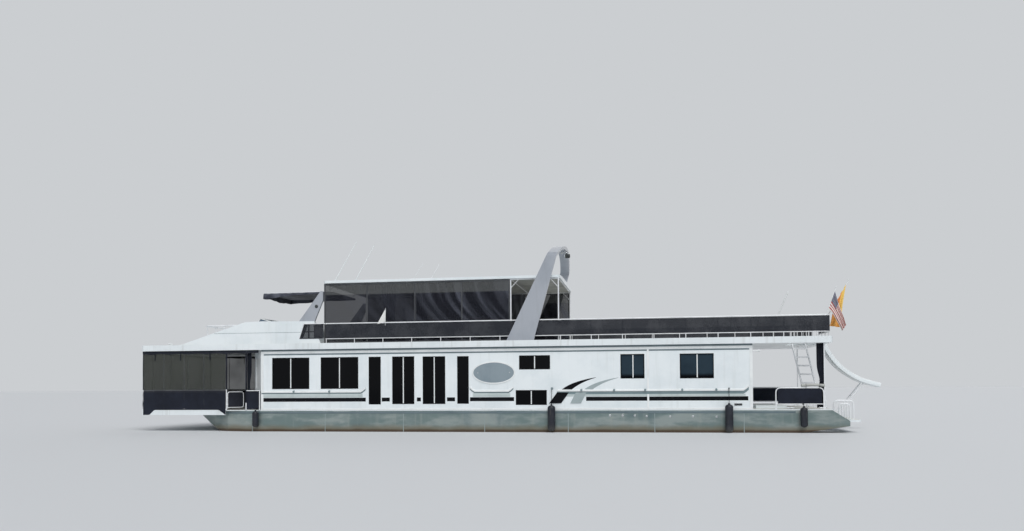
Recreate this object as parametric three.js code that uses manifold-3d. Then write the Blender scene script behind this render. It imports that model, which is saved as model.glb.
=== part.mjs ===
// A twin-engined houseboat with a screened fore porch, a long cabin and a fly bridge under a hardtop.
// Millimetres. +X points to the bow, +Y to port, +Z up. The origin is on the waterline, amidships.
import * as THREE from "three";
import { mergeVertices } from "three/addons/utils/BufferGeometryUtils.js";
import Module from "manifold-3d";

const wasm = await Module();
wasm.setup();

// Fits
const SEAT = 0.3; // between pieces that touch
const PLAY = 6; // around what moves

// Hull and main deck
const HULL_HALF = 2420;
const HULL_TOP = 730;
const KEEL_Z = -500;
const TRANSOM_X = -10450;
const SPONSON_IN = 1720;
const DECK_BASE = HULL_TOP + SEAT;
const DECK_TOP = 760;
const DECK_AFT = -11580;
const FORE_DECK_AFT = 9160;
const FORE_DECK_BOW = 12400;
const FASCIA_HALF = 2440;
const FASCIA_THICK = 60;
const FASCIA_LOW = 585;
const FASCIA_HIGH = 800;

// Cabin
const WALL_OUT = 2400;
const WALL_THICK = 60;
const WALL_IN = WALL_OUT - WALL_THICK;
const CABIN_BOW = 7830;
const CABIN_AFT = -9130;
const BAY_BOW = 8350;
const BAY_HALF = 1800;
const WALL_LOW = DECK_TOP + SEAT;

// Upper deck
const ROOF_LOW = 2900;
const ROOF_FLOOR = 2980;
const ROOF_TOP = 3110;
const ROOF_HALF = 2500;
const ROOF_BOW = 12480;
const ROOF_AFT = -11640;
const COAMING = 100;
const WALL_HIGH = ROOF_LOW - SEAT;
const ON_FLOOR = ROOF_FLOOR + SEAT;
const ON_COAMING = ROOF_TOP + SEAT;

// Bridge
const FAIRING_HALF = 2440;
const SHELL = 60;
const HARDTOP_BOW = 5540;
const HARDTOP_AFT = -2860;
const HARDTOP_HALF = 2350;
const HARDTOP_LOW = 5230;
const HARDTOP_EDGE = 5320;
const POST_Y = 2280;
const POST_R = 25;
const RAIL_Y = 2360;
const RAIL_TOP = 3800;
const RAIL_LOW = 3265;
const RAIL_R = 20;
const SHEET = 4; // screens and mesh

// Drives
const BAY_FLOOR = -380;
const ENGINE_Y = 920;
const DRIVE_Y = 850;
const DRIVE_X = -10760;
const DRIVE_R = 65;
const PROP_Z = -780;
const PROP_R = 200;

// Aft hatches and ladder
const HATCH = { aft: -10320, bow: -9350, inner: 450, outer: 1400 };
const LADDER = { top: [-10800, 950], foot: [-11200, 1586], spread: 290, r: 18 };
const LADDER_HATCH = { aft: -11350, bow: -10400, inner: 740, outer: 1700 };
const SLIDE_HALF = 275;

const V = (x, y, z) => new THREE.Vector3(x, y, z);

// Half the width across flats of an eight-sided bar
const flat = (r) => r * Math.cos(Math.PI / 8);

// Solids

function solid(geometry) {
  const bare = geometry.clone();
  bare.deleteAttribute("normal");
  bare.deleteAttribute("uv");
  const merged = mergeVertices(bare, 1e-3);
  const at = merged.attributes.position;
  const index = Array.from(merged.index.array);
  let volume = 0;
  for (let i = 0; i < index.length; i += 3) {
    const [a, b, c] = [0, 1, 2].map((k) => V().fromBufferAttribute(at, index[i + k]));
    volume += a.dot(b.cross(c));
  }
  const triVerts = new Uint32Array(index);
  if (volume < 0) {
    for (let i = 0; i < index.length; i += 3) {
      triVerts[i + 1] = index[i + 2];
      triVerts[i + 2] = index[i + 1];
    }
  }
  const vertProperties = new Float32Array(at.array);
  return new wasm.Manifold(new wasm.Mesh({ numProp: 3, vertProperties, triVerts }));
}

// A span of Y, mirrored on the starboard side
const across = (side, y0, y1) => (side > 0 ? [y0, y1] : [-y1, -y0]);

const join = (...pieces) => pieces.flat().reduce((whole, piece) => whole.add(piece));
const cut = (whole, ...tools) => tools.flat().reduce((left, tool) => left.subtract(tool), whole);

function box(x, y, z) {
  const geometry = new THREE.BoxGeometry(x[1] - x[0], y[1] - y[0], z[1] - z[0]);
  return solid(geometry.translate((x[0] + x[1]) / 2, (y[0] + y[1]) / 2, (z[0] + z[1]) / 2));
}

const shapeOf = (points) => new THREE.Shape(points.map(([a, b]) => new THREE.Vector2(a, b)));

// An outline in plan, X and Y, raised from z[0] to z[1]
function planBlock(points, z) {
  const geometry = new THREE.ExtrudeGeometry(shapeOf(points), { depth: z[1] - z[0], bevelEnabled: false });
  return solid(geometry.translate(0, 0, z[0]));
}

// An outline seen from the side, X and Z, running from y[0] to y[1]
function sideBlock(points, y) {
  const geometry = new THREE.ExtrudeGeometry(shapeOf(points), { depth: y[1] - y[0], bevelEnabled: false });
  return solid(geometry.rotateX(Math.PI / 2).translate(0, y[1], 0));
}

// An outline seen from ahead, Y and Z, running from x[0] to x[1]
function crossBlock(points, x) {
  const geometry = new THREE.ExtrudeGeometry(shapeOf(points), { depth: x[1] - x[0], bevelEnabled: false });
  const turn = new THREE.Matrix4().makeBasis(V(0, 1, 0), V(0, 0, 1), V(1, 0, 0));
  return solid(geometry.applyMatrix4(turn).translate(x[0], 0, 0));
}

// A path of straight runs, kept to its own corner points
class Run extends THREE.Curve {
  constructor(points) {
    super();
    this.points = points;
  }
  getSpacedPoints() {
    return this.points;
  }
  getPoint(t) {
    const at = t * (this.points.length - 1);
    const i = Math.min(Math.floor(at), this.points.length - 2);
    return this.points[i].clone().lerp(this.points[i + 1], at - i);
  }
  getTangentAt(u) {
    const i = Math.round(u * (this.points.length - 1));
    const before = this.points[Math.max(i - 1, 0)];
    const here = this.points[i];
    const after = this.points[Math.min(i + 1, this.points.length - 1)];
    const tangent = V();
    if (!before.equals(here)) tangent.add(here.clone().sub(before).normalize());
    if (!after.equals(here)) tangent.add(after.clone().sub(here).normalize());
    return tangent.normalize();
  }
}

// Corner points with each inner corner rounded by a few chords
function rounded(points, radius, chords = 3) {
  const path = [points[0]];
  for (let i = 1; i < points.length - 1; i++) {
    const corner = points[i];
    const start = corner.clone().add(points[i - 1].clone().sub(corner).setLength(radius));
    const end = corner.clone().add(points[i + 1].clone().sub(corner).setLength(radius));
    const bend = new THREE.QuadraticBezierCurve3(start, corner, end);
    path.push(...bend.getPoints(chords));
  }
  path.push(points[points.length - 1]);
  return path;
}

function tube(points, r, sides = 8) {
  const ring = Array.from({ length: sides }, (_, i) => {
    const angle = ((i + 0.5) * 2 * Math.PI) / sides;
    return [r * Math.cos(angle), r * Math.sin(angle)];
  });
  const extrudePath = new Run(points);
  return solid(new THREE.ExtrudeGeometry(shapeOf(ring), { steps: points.length - 1, extrudePath }));
}

// A round bar between two points, square at its ends
const bar = (a, b, r, sides = 8) => tube([V(...a), V(...b)], r, sides);

function lathe(profile, place, segments = 16) {
  const points = profile.map(([r, z]) => new THREE.Vector2(r, z));
  const geometry = new THREE.LatheGeometry(points, segments).rotateX(Math.PI / 2);
  return solid(geometry.translate(...place));
}

// Scene graph

const houseboat = new THREE.Group();
houseboat.name = "houseboat";

const FINISH = {
  // name: [colour, roughness, metalness]
  gelcoat: [0xdfe4e8, 0.35, 0],
  hullMetal: [0x7f918f, 0.55, 0.6],
  fin: [0xa5aab2, 0.4, 0.3],
  tube: [0xd9dcdf, 0.3, 0.7],
  mesh: [0x3b3e44, 0.9, 0],
  navy: [0x1d242f, 0.9, 0],
  screen: [0x4a4a40, 0.8, 0],
  glass: [0x0b0d12, 0.08, 0],
  engine: [0x30343a, 0.5, 0.3],
  bronze: [0x8a7340, 0.35, 0.9],
  fender: [0x151b2c, 0.45, 0],
  vinyl: [0xcfd0cc, 0.6, 0],
  flagRed: [0xb23a3c, 0.9, 0],
  flagYellow: [0xe2a63a, 0.9, 0],
};

function add(name, shape, finish, at = [0, 0, 0]) {
  const { numProp, vertProperties, triVerts } = shape.getMesh();
  const positions = new Float32Array(triVerts.length * 3);
  triVerts.forEach((vertex, i) => {
    positions.set(vertProperties.subarray(vertex * numProp, vertex * numProp + 3), i * 3);
  });
  const geometry = new THREE.BufferGeometry();
  geometry.setAttribute("position", new THREE.BufferAttribute(positions, 3));
  const merged = mergeVertices(geometry, 1e-4);
  merged.computeVertexNormals();
  const [color, roughness, metalness] = FINISH[finish];
  const mesh = new THREE.Mesh(merged, new THREE.MeshStandardMaterial({ color, roughness, metalness }));
  mesh.name = name;
  mesh.position.set(...at);
  houseboat.add(mesh);
}

// Hull: sections from stem to transom, joined by flat faces

function hullLoft() {
  const stations = [
    // x, half width at the top, half width and height at the chine, half width and height of the bottom
    { x: 10600, top: 1500, chine: [1450, 560], keel: [1300, 480] },
    { x: 9860, top: 1950, chine: [1880, 120], keel: [1500, 0] },
    { x: 9150, top: 2300, chine: [2260, -140], keel: [1800, -420] },
    { x: 8400, top: 2420, chine: [2420, -280], keel: [2050, KEEL_Z] },
    { x: -8600, top: 2420, chine: [2420, -280], keel: [2050, KEEL_Z] },
    { x: TRANSOM_X, top: 2420, chine: [2420, -220], keel: [2050, -460] },
  ];
  const rings = stations.map(({ x, top, chine, keel }) => {
    const half = [[top, HULL_TOP], chine, keel];
    const other = half.map(([y, z]) => [-y, z]).reverse();
    return [...half, ...other].map(([y, z]) => [x, y, z]);
  });
  const size = rings[0].length;
  const index = [];
  for (let s = 0; s < rings.length - 1; s++) {
    for (let i = 0; i < size; i++) {
      const [a, b] = [s * size + i, s * size + ((i + 1) % size)];
      index.push(a, b, a + size, b, b + size, a + size);
    }
  }
  const last = (rings.length - 1) * size;
  for (let i = 1; i < size - 1; i++) {
    index.push(0, i + 1, i);
    index.push(last, last + i, last + i + 1);
  }
  const geometry = new THREE.BufferGeometry();
  geometry.setAttribute("position", new THREE.Float32BufferAttribute(rings.flat(2), 3));
  geometry.setIndex(index);
  return solid(geometry);
}

// Each sponson runs on aft of the transom and slopes down to the swim platform
const SPONSON = { end: -12120, endHigh: 380, endLow: 217 };
const sponsonTop = (x) =>
  HULL_TOP - ((DECK_AFT - x) * (HULL_TOP - SPONSON.endHigh)) / (DECK_AFT - SPONSON.end);

function sponson(y) {
  const profile = [
    [-10300, HULL_TOP], [DECK_AFT, HULL_TOP], [SPONSON.end, SPONSON.endHigh],
    [SPONSON.end, SPONSON.endLow], [-10630, 0], [-10300, -70],
  ];
  return sideBlock(profile, y);
}

const LUG = { low: 155, high: 205, pin: 20, bore: 20.9 };

function driveLug(y) {
  const housing = box([-10640, TRANSOM_X + 10], [y - 150, y + 150], [-250, 250]);
  const arm = box([-10840, -10630], [y - 60, y + 60], [LUG.low, LUG.high]);
  const bore = lathe([[0, -60], [LUG.bore, -60], [LUG.bore, 60], [0, 60]], [DRIVE_X, y, 180]);
  return cut(join(housing, arm), bore);
}

function hull() {
  const bay = box([-10350, -9250], [-1500, 1500], [BAY_FLOOR, HULL_TOP + 50]);
  const drives = join(driveLug(DRIVE_Y), driveLug(-DRIVE_Y));
  const sponsons = join(sponson([SPONSON_IN, HULL_HALF]), sponson([-HULL_HALF, -SPONSON_IN]));
  return join(cut(hullLoft(), bay), sponsons, drives);
}

function mainDeck() {
  const slab = box([DECK_AFT, FORE_DECK_BOW], [-HULL_HALF, HULL_HALF], [DECK_BASE, DECK_TOP]);
  const inner = FASCIA_HALF - FASCIA_THICK;
  const rim = cut(
    box([FORE_DECK_AFT, FORE_DECK_BOW], [-FASCIA_HALF, FASCIA_HALF], [FASCIA_LOW, FASCIA_HIGH]),
    box([FORE_DECK_AFT - 1, FORE_DECK_BOW - FASCIA_THICK], [-inner, inner], [0, 1000]),
  );
  // The hull's shoulders pass inside the rim
  const shoulders = box([FORE_DECK_AFT - 1, 9500], [-HULL_HALF - 1, HULL_HALF + 1], [FASCIA_LOW - 1, DECK_BASE]);
  const beams = [-900, 900].map((y) => box([10700, FORE_DECK_BOW - 20], [y - 40, y + 40], [FASCIA_LOW, DECK_TOP - 10]));
  const openings = [1, -1].map((side) => {
    const y = across(side, HATCH.inner, HATCH.outer);
    return box([HATCH.aft + 40, HATCH.bow - 40], [y[0] + 40, y[1] - 40], [DECK_BASE - 50, DECK_TOP + 50]);
  });
  const hinges = [1, -1].map((side) => lidKnuckles(side, true));
  return join(cut(join(slab, cut(rim, shoulders), beams), openings), hinges.flat());
}

// A raised lid over each engine, hinged along its aft edge
const LID = { low: DECK_TOP + SEAT, high: 865 };
const LID_HINGE = { x: HATCH.aft - 44, z: 776, r: 9, middle: (HATCH.inner + HATCH.outer) / 2 };

function lidKnuckles(side, fixed) {
  const { x, z, r, middle } = LID_HINGE;
  return [-300, 300].map((offset) => {
    const y = side * middle + offset;
    const span = fixed ? [y - 60, y - 2] : [y + 2, y + 60];
    const leaf = fixed
      ? box([x - r, x + 4], span, [DECK_TOP - 5, z])
      : box([x, HATCH.aft - 20], span, [z - 5, z + r]);
    return join(bar([x, span[0], z], [x, span[1], z], r), leaf);
  });
}

function engineLid(side) {
  const y = across(side, HATCH.inner, HATCH.outer);
  const shell = box([HATCH.aft - 30, HATCH.bow], y, [LID.low, LID.high]);
  const hollow = box([HATCH.aft, HATCH.bow - 30], [y[0] + 30, y[1] - 30], [LID.low - 10, LID.high - 25]);
  return join(cut(shell, hollow), lidKnuckles(side, false));
}

function driveLeg() {
  // Seen from the side, about the steering axis
  const leg = lathe([[0, -430], [DRIVE_R, -430], [DRIVE_R, LUG.low - SEAT], [0, LUG.low - SEAT]], [0, 0, 0], 12);
  const body = sideBlock([[40, 150], [-150, 150], [-330, -120], [-330, -500], [-120, -560], [60, -560], [60, -300]], [-60, 60]);
  const plate = box([-600, 40], [-140, 140], [-560, -535]);
  const lower = sideBlock([[40, -550], [-330, -550], [-420, -700], [-420, -800], [-250, -860], [-20, -800], [20, -700]], [-35, 35]);
  const torpedo = bar([120, 0, PROP_Z], [-480, 0, PROP_Z], 70, 12);
  const nose = bar([200, 0, PROP_Z], [110, 0, PROP_Z], 35, 12);
  const skeg = sideBlock([[-30, -830], [-330, -830], [-360, -1050], [-200, -1050]], [-10, 10]);
  const stub = bar([-470, 0, PROP_Z], [-520, 0, PROP_Z], 15, 16);
  const pin = lathe([[0, 100], [LUG.pin, 100], [LUG.pin, LUG.high - 5], [0, LUG.high - 5]], [0, 0, 0]);
  return join(leg, body, plate, lower, torpedo, nose, skeg, stub, pin);
}

function propeller() {
  // About its own axis, with the bore towards the bow
  const hub = bar([-PLAY, 0, 0], [-170, 0, 0], 55, 16);
  const bore = bar([5, 0, 0], [-60, 0, 0], 15.7, 16);
  const blades = [0, 1, 2].map((i) => {
    const blade = new THREE.Shape();
    blade.absellipse(0, 120, 70, 82, 0, 2 * Math.PI);
    const flat = new THREE.ExtrudeGeometry(blade, { depth: 10, bevelEnabled: false, curveSegments: 8 });
    flat.translate(0, 0, -5).rotateY(Math.PI / 2 - 0.6).rotateX((i * 2 * Math.PI) / 3);
    return solid(flat.translate(-90, 0, 0));
  });
  return cut(join(hub, blades), bore);
}

const PLATFORM = { aft: -12490, bow: -11900, half: 2300, low: 345, high: 420 };

function boardingRail(side) {
  const y = side * 2050;
  const foot = (x) => (x > SPONSON.end ? sponsonTop(x + 18) : PLATFORM.high) + SEAT;
  const hoop = (bow, aft, high, r) => {
    const corners = [V(bow, y, foot(bow)), V(bow, y, high), V(aft, y, high), V(aft, y, PLATFORM.high - 10)];
    return tube(rounded(corners, 110), r);
  };
  const sill = box([-12330, SPONSON.end - 20], [y - 20, y + 20], [PLATFORM.high - 10, PLATFORM.high + 20]);
  return join(hoop(-11700, -12310, 1030, 18), hoop(-11860, -12200, 930, 14), sill);
}

function swimPlatform() {
  const { aft, bow, half, low, high } = PLATFORM;
  const neck = SPONSON.end - SEAT;
  const inner = SPONSON_IN - SEAT;
  const plan = [
    [aft + 60, half], [neck, half], [neck, inner], [bow, inner],
    [bow, -inner], [neck, -inner], [neck, -half], [aft + 60, -half], [aft, -half + 60], [aft, half - 60],
  ];
  const step = box([bow - 10, DECK_AFT - SEAT], [-1100, 1100], [low, 590]);
  return join(planBlock(plan, [low, high]), step, boardingRail(1), boardingRail(-1));
}

// Cabin sides: windows as [aft, bow, low, high, mullions...], panels as [name, aft, bow]

const WINDOWS = [
  { x: [6025, 7410], z: [1500, 2610], mullions: [6718] },
  { x: [4222, 5598], z: [1500, 2610], mullions: [4910] },
  { x: [3405, 3840], z: [950, 2610], mullions: [] },
  { x: [2203, 2991], z: [960, 2610], mullions: [2596] },
  { x: [1105, 1901], z: [960, 2600], mullions: [1493] },
  { x: [281, 683], z: [965, 2595], mullions: [] },
  { x: [-2520, -1465], z: [2120, 2595], mullions: [-1994] },
  { x: [-2402, -1345], z: [920, 1420], mullions: [-1875] },
  { x: [-5661, -4874], z: [1790, 2600], mullions: [-5285] },
  { x: [-7901, -6812], z: [1780, 2595], mullions: [-7370] },
];

const SEAM = -5775;
const PANELS = [
  { name: "forward", x: [SEAM, CABIN_BOW] },
  { name: "aft", x: [CABIN_AFT, SEAM] },
];

const inside = ([a, b], [low, high]) => a > low && b < high;

function wallPanel(side, { x }) {
  const face = box([x[0] + SEAT / 2, x[1] - SEAT / 2], across(side, WALL_IN, WALL_OUT), [WALL_LOW, WALL_HIGH]);
  const holes = WINDOWS.filter((window) => inside(window.x, x)).map((window) =>
    box(window.x, across(side, WALL_IN - 50, WALL_OUT + 50), window.z),
  );
  return cut(face, holes);
}

const FRAME = 26;

// Panes in frames, hung from the valance that runs along the inside over them
function windowBand(side) {
  const valance = box([-7980, 7480], across(side, 2300, WALL_IN - SEAT), [2540, 2680]);
  const panes = WINDOWS.map(({ x, z, mullions }) => {
    const [x0, x1] = [x[0] + SEAT, x[1] - SEAT];
    const [z0, z1] = [z[0] + SEAT, z[1] - SEAT];
    const rim = cut(
      box([x0, x1], across(side, 2362, 2406), [z0, z1]),
      box([x0 + FRAME, x1 - FRAME], across(side, 2300, 2450), [z0 + FRAME, z1 - FRAME]),
    );
    const pane = box([x0 + FRAME - 1, x1 - FRAME + 1], across(side, 2374, 2382), [z0 + FRAME - 1, z1 - FRAME + 1]);
    const bars = mullions.map((at) => box([at - 16, at + 16], across(side, 2362, 2400), [z0 + 5, z1 - 5]));
    const tab = box([x0 + 40, x1 - 40], across(side, 2305, 2370), [z1 - FRAME, z1 - 2]);
    return join(rim, pane, bars, tab);
  });
  // The low window hangs from its own strap
  const low = WINDOWS[7];
  const strap = box([-1990, -1900], across(side, 2312, 2330), [low.z[1] - 20, 2600]);
  return join(valance, panes, strap);
}

// The front of the cabin: a flat middle with a sliding door and an angled window each side

const ANGLE = Math.atan2(WALL_OUT - BAY_HALF, BAY_BOW - CABIN_BOW);
const BAY_FACE = V((CABIN_BOW + BAY_BOW) / 2, (WALL_OUT + BAY_HALF) / 2, 0);
const DOOR = { half: 900, low: 800, high: 2700 };

// A block on the angled face: along runs up the face towards the bow, out is outward
function bayBlock(side, along, out, z) {
  const block = new THREE.BoxGeometry(along[1] - along[0], out[1] - out[0], z[1] - z[0]);
  block.translate((along[0] + along[1]) / 2, (out[0] + out[1]) / 2, (z[0] + z[1]) / 2);
  block.rotateZ(-ANGLE).translate(BAY_FACE.x, BAY_FACE.y, 0);
  if (side < 0) block.scale(1, -1, 1);
  return solid(block);
}

function bulkheadPlan(inset) {
  const bow = BAY_BOW - inset;
  const wide = WALL_OUT - inset / Math.cos(ANGLE);
  return { bow, wide, narrow: wide - (bow - CABIN_BOW) * Math.tan(ANGLE) };
}

function frontBulkhead() {
  const outer = bulkheadPlan(0);
  const inner = bulkheadPlan(WALL_THICK);
  const aft = CABIN_BOW + SEAT;
  const plan = [
    [aft, outer.wide], [outer.bow, outer.narrow], [outer.bow, -outer.narrow], [aft, -outer.wide],
    [aft, -inner.wide], [inner.bow, -inner.narrow], [inner.bow, inner.narrow], [aft, inner.wide],
  ];
  const wall = planBlock(plan, [WALL_LOW, WALL_HIGH]);
  const door = box([8000, 8500], [-DOOR.half, DOOR.half], [DOOR.low, DOOR.high]);
  const lights = [1, -1].map((side) => join(
    box([8200, 8500], across(side, 1050, 1650), [1500, 2610]),
    bayBlock(side, [-290, 290], [-200, 100], [1500, 2610]),
  ));
  const track = box([8180, inner.bow + 5], [-1000, 1000], [WALL_LOW, 790]);
  return join(cut(wall, door, lights), track);
}

function frontGlazing() {
  const pane = (y, z) => {
    const rim = cut(box([8300, 8340], y, z), box([8200, 8400], [y[0] + 40, y[1] - 40], [z[0] + 40, z[1] - 40]));
    return join(rim, box([8316, 8324], [y[0] + 39, y[1] - 39], [z[0] + 39, z[1] - 39]));
  };
  const head = box([8205, 8290 - SEAT], [-1700, 1700], [2705, 2760]);
  const fixed = join(
    pane([-DOOR.half + SEAT, 0], [DOOR.low + SEAT, DOOR.high - SEAT]),
    box([8215, 8330], [-DOOR.half + 20, -20], [2665, DOOR.high - SEAT]),
    box([8215, 8285], [-DOOR.half + 20, -20], [2665, 2720]),
  );
  const sides = [1, -1].map((side) => {
    const flat = join(
      pane(across(side, 1050 + SEAT, 1650 - SEAT), [1500 + SEAT, 2610 - SEAT]),
      box([8215, 8330], across(side, 1080, 1620), [2585, 2610 - SEAT]),
      box([8215, 8285], across(side, 1080, 1690), [2585, 2750]),
    );
    const slant = join(
      cut(
        bayBlock(side, [-290 + SEAT, 290 - SEAT], [-50, -10], [1500 + SEAT, 2610 - SEAT]),
        bayBlock(side, [-250, 250], [-200, 100], [1540, 2570]),
      ),
      bayBlock(side, [-251, 251], [-34, -26], [1539, 2571]),
      bayBlock(side, [-240, 240], [-100, -20], [2585, 2610 - SEAT]),
      bayBlock(side, [-260, 365], [-120, -WALL_THICK - SEAT], [2585, 2750]),
    );
    const corner = box([8150, 8270], across(side, 1560, 1770), [2640, 2750]);
    return join(flat, slant, corner);
  });
  return join(head, fixed, sides);
}

const DOOR_LEAF = { x: [8225, 8265], z: [797, 2640], y: [10, 890] };

function slidingDoor() {
  const { x, y, z } = DOOR_LEAF;
  const rim = cut(box(x, y, z), box([8000, 8500], [y[0] + 60, y[1] - 60], [z[0] + 60, z[1] - 60]));
  const pane = box([8241, 8249], [y[0] + 59, y[1] - 59], [z[0] + 59, z[1] - 59]);
  const shoes = [130, 770].map((at) => box([8235, 8255], [at - 40, at + 40], [790 + SEAT, z[0] + 10]));
  return join(rim, pane, shoes);
}

const AFT_DOOR = { half: 375, low: 806, high: 2648, hinge: [-9140, -384] };

function knuckle(at, z, reach) {
  const eye = lathe([[0, z[0]], [9, z[0]], [9, z[1]], [0, z[1]]], [at[0], at[1], 0], 10);
  return join(eye, reach);
}

function aftBulkhead() {
  const wall = box([CABIN_AFT, CABIN_AFT + WALL_THICK], [-WALL_IN + SEAT, WALL_IN - SEAT], [WALL_LOW, WALL_HIGH]);
  const doorway = box([-9200, -9000], [-385, 385], [800, 2656]);
  const lights = [1, -1].map((side) => box([-9200, -9000], across(side, 900, 1900), [1500, 2500]));
  const [hx, hy] = AFT_DOOR.hinge;
  const hinges = [1000, 1700, 2400].map((z) =>
    knuckle([hx, hy], [z, z + 60], box([hx - 6, CABIN_AFT + 5], [hy - 30, hy], [z, z + 60])),
  );
  return join(cut(wall, doorway, lights), hinges);
}

function aftDoor() {
  const { half, low, high, hinge } = AFT_DOOR;
  const leaf = box([-9120, -9080], [-half, half], [low, high]);
  const light = box([-9200, -9000], [-half + 130, half - 130], [1500, 2500]);
  const pane = box([-9104, -9096], [-half + 129, half - 129], [1499, 2501]);
  const [hx, hy] = hinge;
  const hinges = [1000, 1700, 2400].map((z) =>
    knuckle([hx, hy], [z + 60 + SEAT, z + 120], box([hx - 6, -9115], [hy, hy + 30], [z + 60 + SEAT, z + 120])),
  );
  const handle = bar([-9135, half - 60, 1650], [-9135, half - 60, 1780], 10);
  const stems = [1660, 1770].map((z) => bar([-9135, half - 60, z], [-9110, half - 60, z], 8));
  return join(cut(leaf, light), pane, hinges, handle, stems);
}

// Upper deck

function roundedPlan(bow, aft, half, r, chords = 4) {
  const corners = [[bow, half], [aft, half], [aft, -half], [bow, -half]];
  const at = (i) => V(...corners[(i + 4) % 4], 0);
  const plan = [];
  for (let i = 0; i < 4; i++) {
    const start = at(i).add(at(i - 1).sub(at(i)).setLength(r));
    const end = at(i).add(at(i + 1).sub(at(i)).setLength(r));
    plan.push(...new THREE.QuadraticBezierCurve3(start, at(i), end).getPoints(chords).map((p) => [p.x, p.y]));
  }
  return plan;
}

function upperDeck() {
  const tray = planBlock(roundedPlan(ROOF_BOW, ROOF_AFT, ROOF_HALF, 220), [ROOF_LOW, ROOF_TOP]);
  const well = planBlock(roundedPlan(ROOF_BOW - COAMING, ROOF_AFT + COAMING, ROOF_HALF - COAMING, 140), [ROOF_FLOOR, ROOF_TOP + 10]);
  const { aft, bow, inner, outer } = LADDER_HATCH;
  const ladderWay = box([aft, bow], [inner, outer], [ROOF_LOW - 10, ROOF_TOP + 10]);
  const slideWay = box([ROOF_AFT - 10, ROOF_AFT + COAMING + 10], [-SLIDE_HALF - 60, SLIDE_HALF + 60], [ROOF_FLOOR, ROOF_TOP + 10]);
  return cut(tray, well, ladderWay, slideWay);
}

// Bridge fairing: a moulded shell over the fore end of the upper deck, open below and aft

const SLOPE = { foot: [10750, 3170], head: [8430, 3905] };
const slopeZ = (x) =>
  SLOPE.head[1] + ((x - SLOPE.head[0]) * (SLOPE.foot[1] - SLOPE.head[1])) / (SLOPE.foot[0] - SLOPE.head[0]);
const CAP_CORNERS = { bow: [7790, 3920], aft: [5840, 3890] };
const capZ = (x) =>
  CAP_CORNERS.aft[1] + ((x - CAP_CORNERS.aft[0]) * (CAP_CORNERS.bow[1] - CAP_CORNERS.aft[1])) / (CAP_CORNERS.bow[0] - CAP_CORNERS.aft[0]);
const FAIRING_AFT = 5600;
const DASH_X = 8120;

function fairingOuter(lift = 0) {
  const profile = [
    [10950, ON_COAMING + lift], [SLOPE.foot[0], SLOPE.foot[1] + lift], [SLOPE.head[0], SLOPE.head[1] + lift],
    [CAP_CORNERS.bow[0], CAP_CORNERS.bow[1] + lift], [CAP_CORNERS.aft[0], CAP_CORNERS.aft[1] + lift],
    [FAIRING_AFT, ON_COAMING],
  ];
  return sideBlock(profile, [-FAIRING_HALF, FAIRING_HALF]);
}

function bridgeFairing() {
  const hollow = sideBlock(
    [[10760, 3000], [10700, 3120], [8420, 3842], [7800, 3858], [5000, 3815], [5000, 3000]],
    [-FAIRING_HALF + SHELL, FAIRING_HALF - SHELL],
  );
  const cockpit = box([5000, DASH_X], [-2250, 2250], [3700, 4000]);
  const lap = [1, -1].map((side) => box([5000, 11000], across(side, FAIRING_HALF - 16, FAIRING_HALF + 10), [3500, 4000]));
  const shell = cut(fairingOuter(), hollow, cockpit, lap);
  const width = ROOF_HALF - COAMING - SEAT;
  const dash = box([DASH_X, DASH_X + SHELL], [-width, width], [ON_FLOOR, 3860]);
  const lip = box([10700, 10760], [-width, width], [ON_FLOOR, 3160]);
  return join(shell, dash, lip);
}

function windshield() {
  const plan = (half, bow, grow) => [
    [7950 - grow, half + 150], [bow, half], [bow, -half], [7950 - grow, -half - 150],
  ];
  const outer = planBlock(plan(1300, 8600, 1), [3600, 4150]);
  const inner = planBlock(plan(1287, 8587, 20), [3500, 4250]);
  const lean = new THREE.Matrix4().set(1, 0, -0.75, 0.75 * 3900, 0, 1, 0, 0, 0, 0, 1, 0, 0, 0, 0, 1);
  const pane = cut(outer, inner).transform(lean.elements);
  return cut(pane, fairingOuter(SEAT), box([0, 20000], [-3000, 3000], [0, 3895]));
}

function helmConsole() {
  const bench = box([7760, DASH_X - SEAT], [250, 1350], [ON_FLOOR, 3780]);
  const cowl = sideBlock([[7700, 3780], [7760, 3700], [DASH_X - SEAT, 3700], [DASH_X - SEAT, 3850], [7900, 3850]], [250, 1350]);
  const rim = new THREE.TorusGeometry(210, 14, 8, 20).rotateY(Math.PI / 2 + 0.35).translate(7620, 800, 3600);
  const column = bar([7790, 800, 3530], [7610, 800, 3602], 24);
  const spokes = [0, 1, 2].map((i) => {
    const arm = new THREE.BoxGeometry(14, 14, 210).translate(0, 0, 105);
    arm.rotateX((i * 2 * Math.PI) / 3).rotateY(0.35).translate(7620, 800, 3600);
    return solid(arm);
  });
  return join(bench, cowl, column, solid(rim), spokes);
}

function helmSeat() {
  const base = box([6650, 7100], [300, 1300], [ON_FLOOR, 3380]);
  const cushion = box([6560, 7160], [250, 1350], [3370, 3500]);
  const back = sideBlock([[6560, 3480], [6690, 3480], [6610, 3960], [6500, 3960]], [250, 1350]);
  return join(base, cushion, back);
}

function slopeRail() {
  const [aft, bow, half, r] = [8740, 10030, 2300, 19];
  const run = [
    V(aft, half, RAIL_TOP), V(bow, half, RAIL_TOP), V(bow, -half, RAIL_TOP), V(aft, -half, RAIL_TOP),
  ];
  const posts = Array.from({ length: 8 }, (_, i) => {
    const y = -half + 160 + (i * (2 * half - 320)) / 7;
    return bar([bow, y, slopeZ(bow) - 30], [bow, y, RAIL_TOP], 14);
  });
  const feet = [1, -1].map((side) => bar([9300, side * half, slopeZ(9300) - 30], [9300, side * half, RAIL_TOP], 14));
  return cut(join(tube(rounded(run, 150), r), posts, feet), fairingOuter(SEAT));
}

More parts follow.
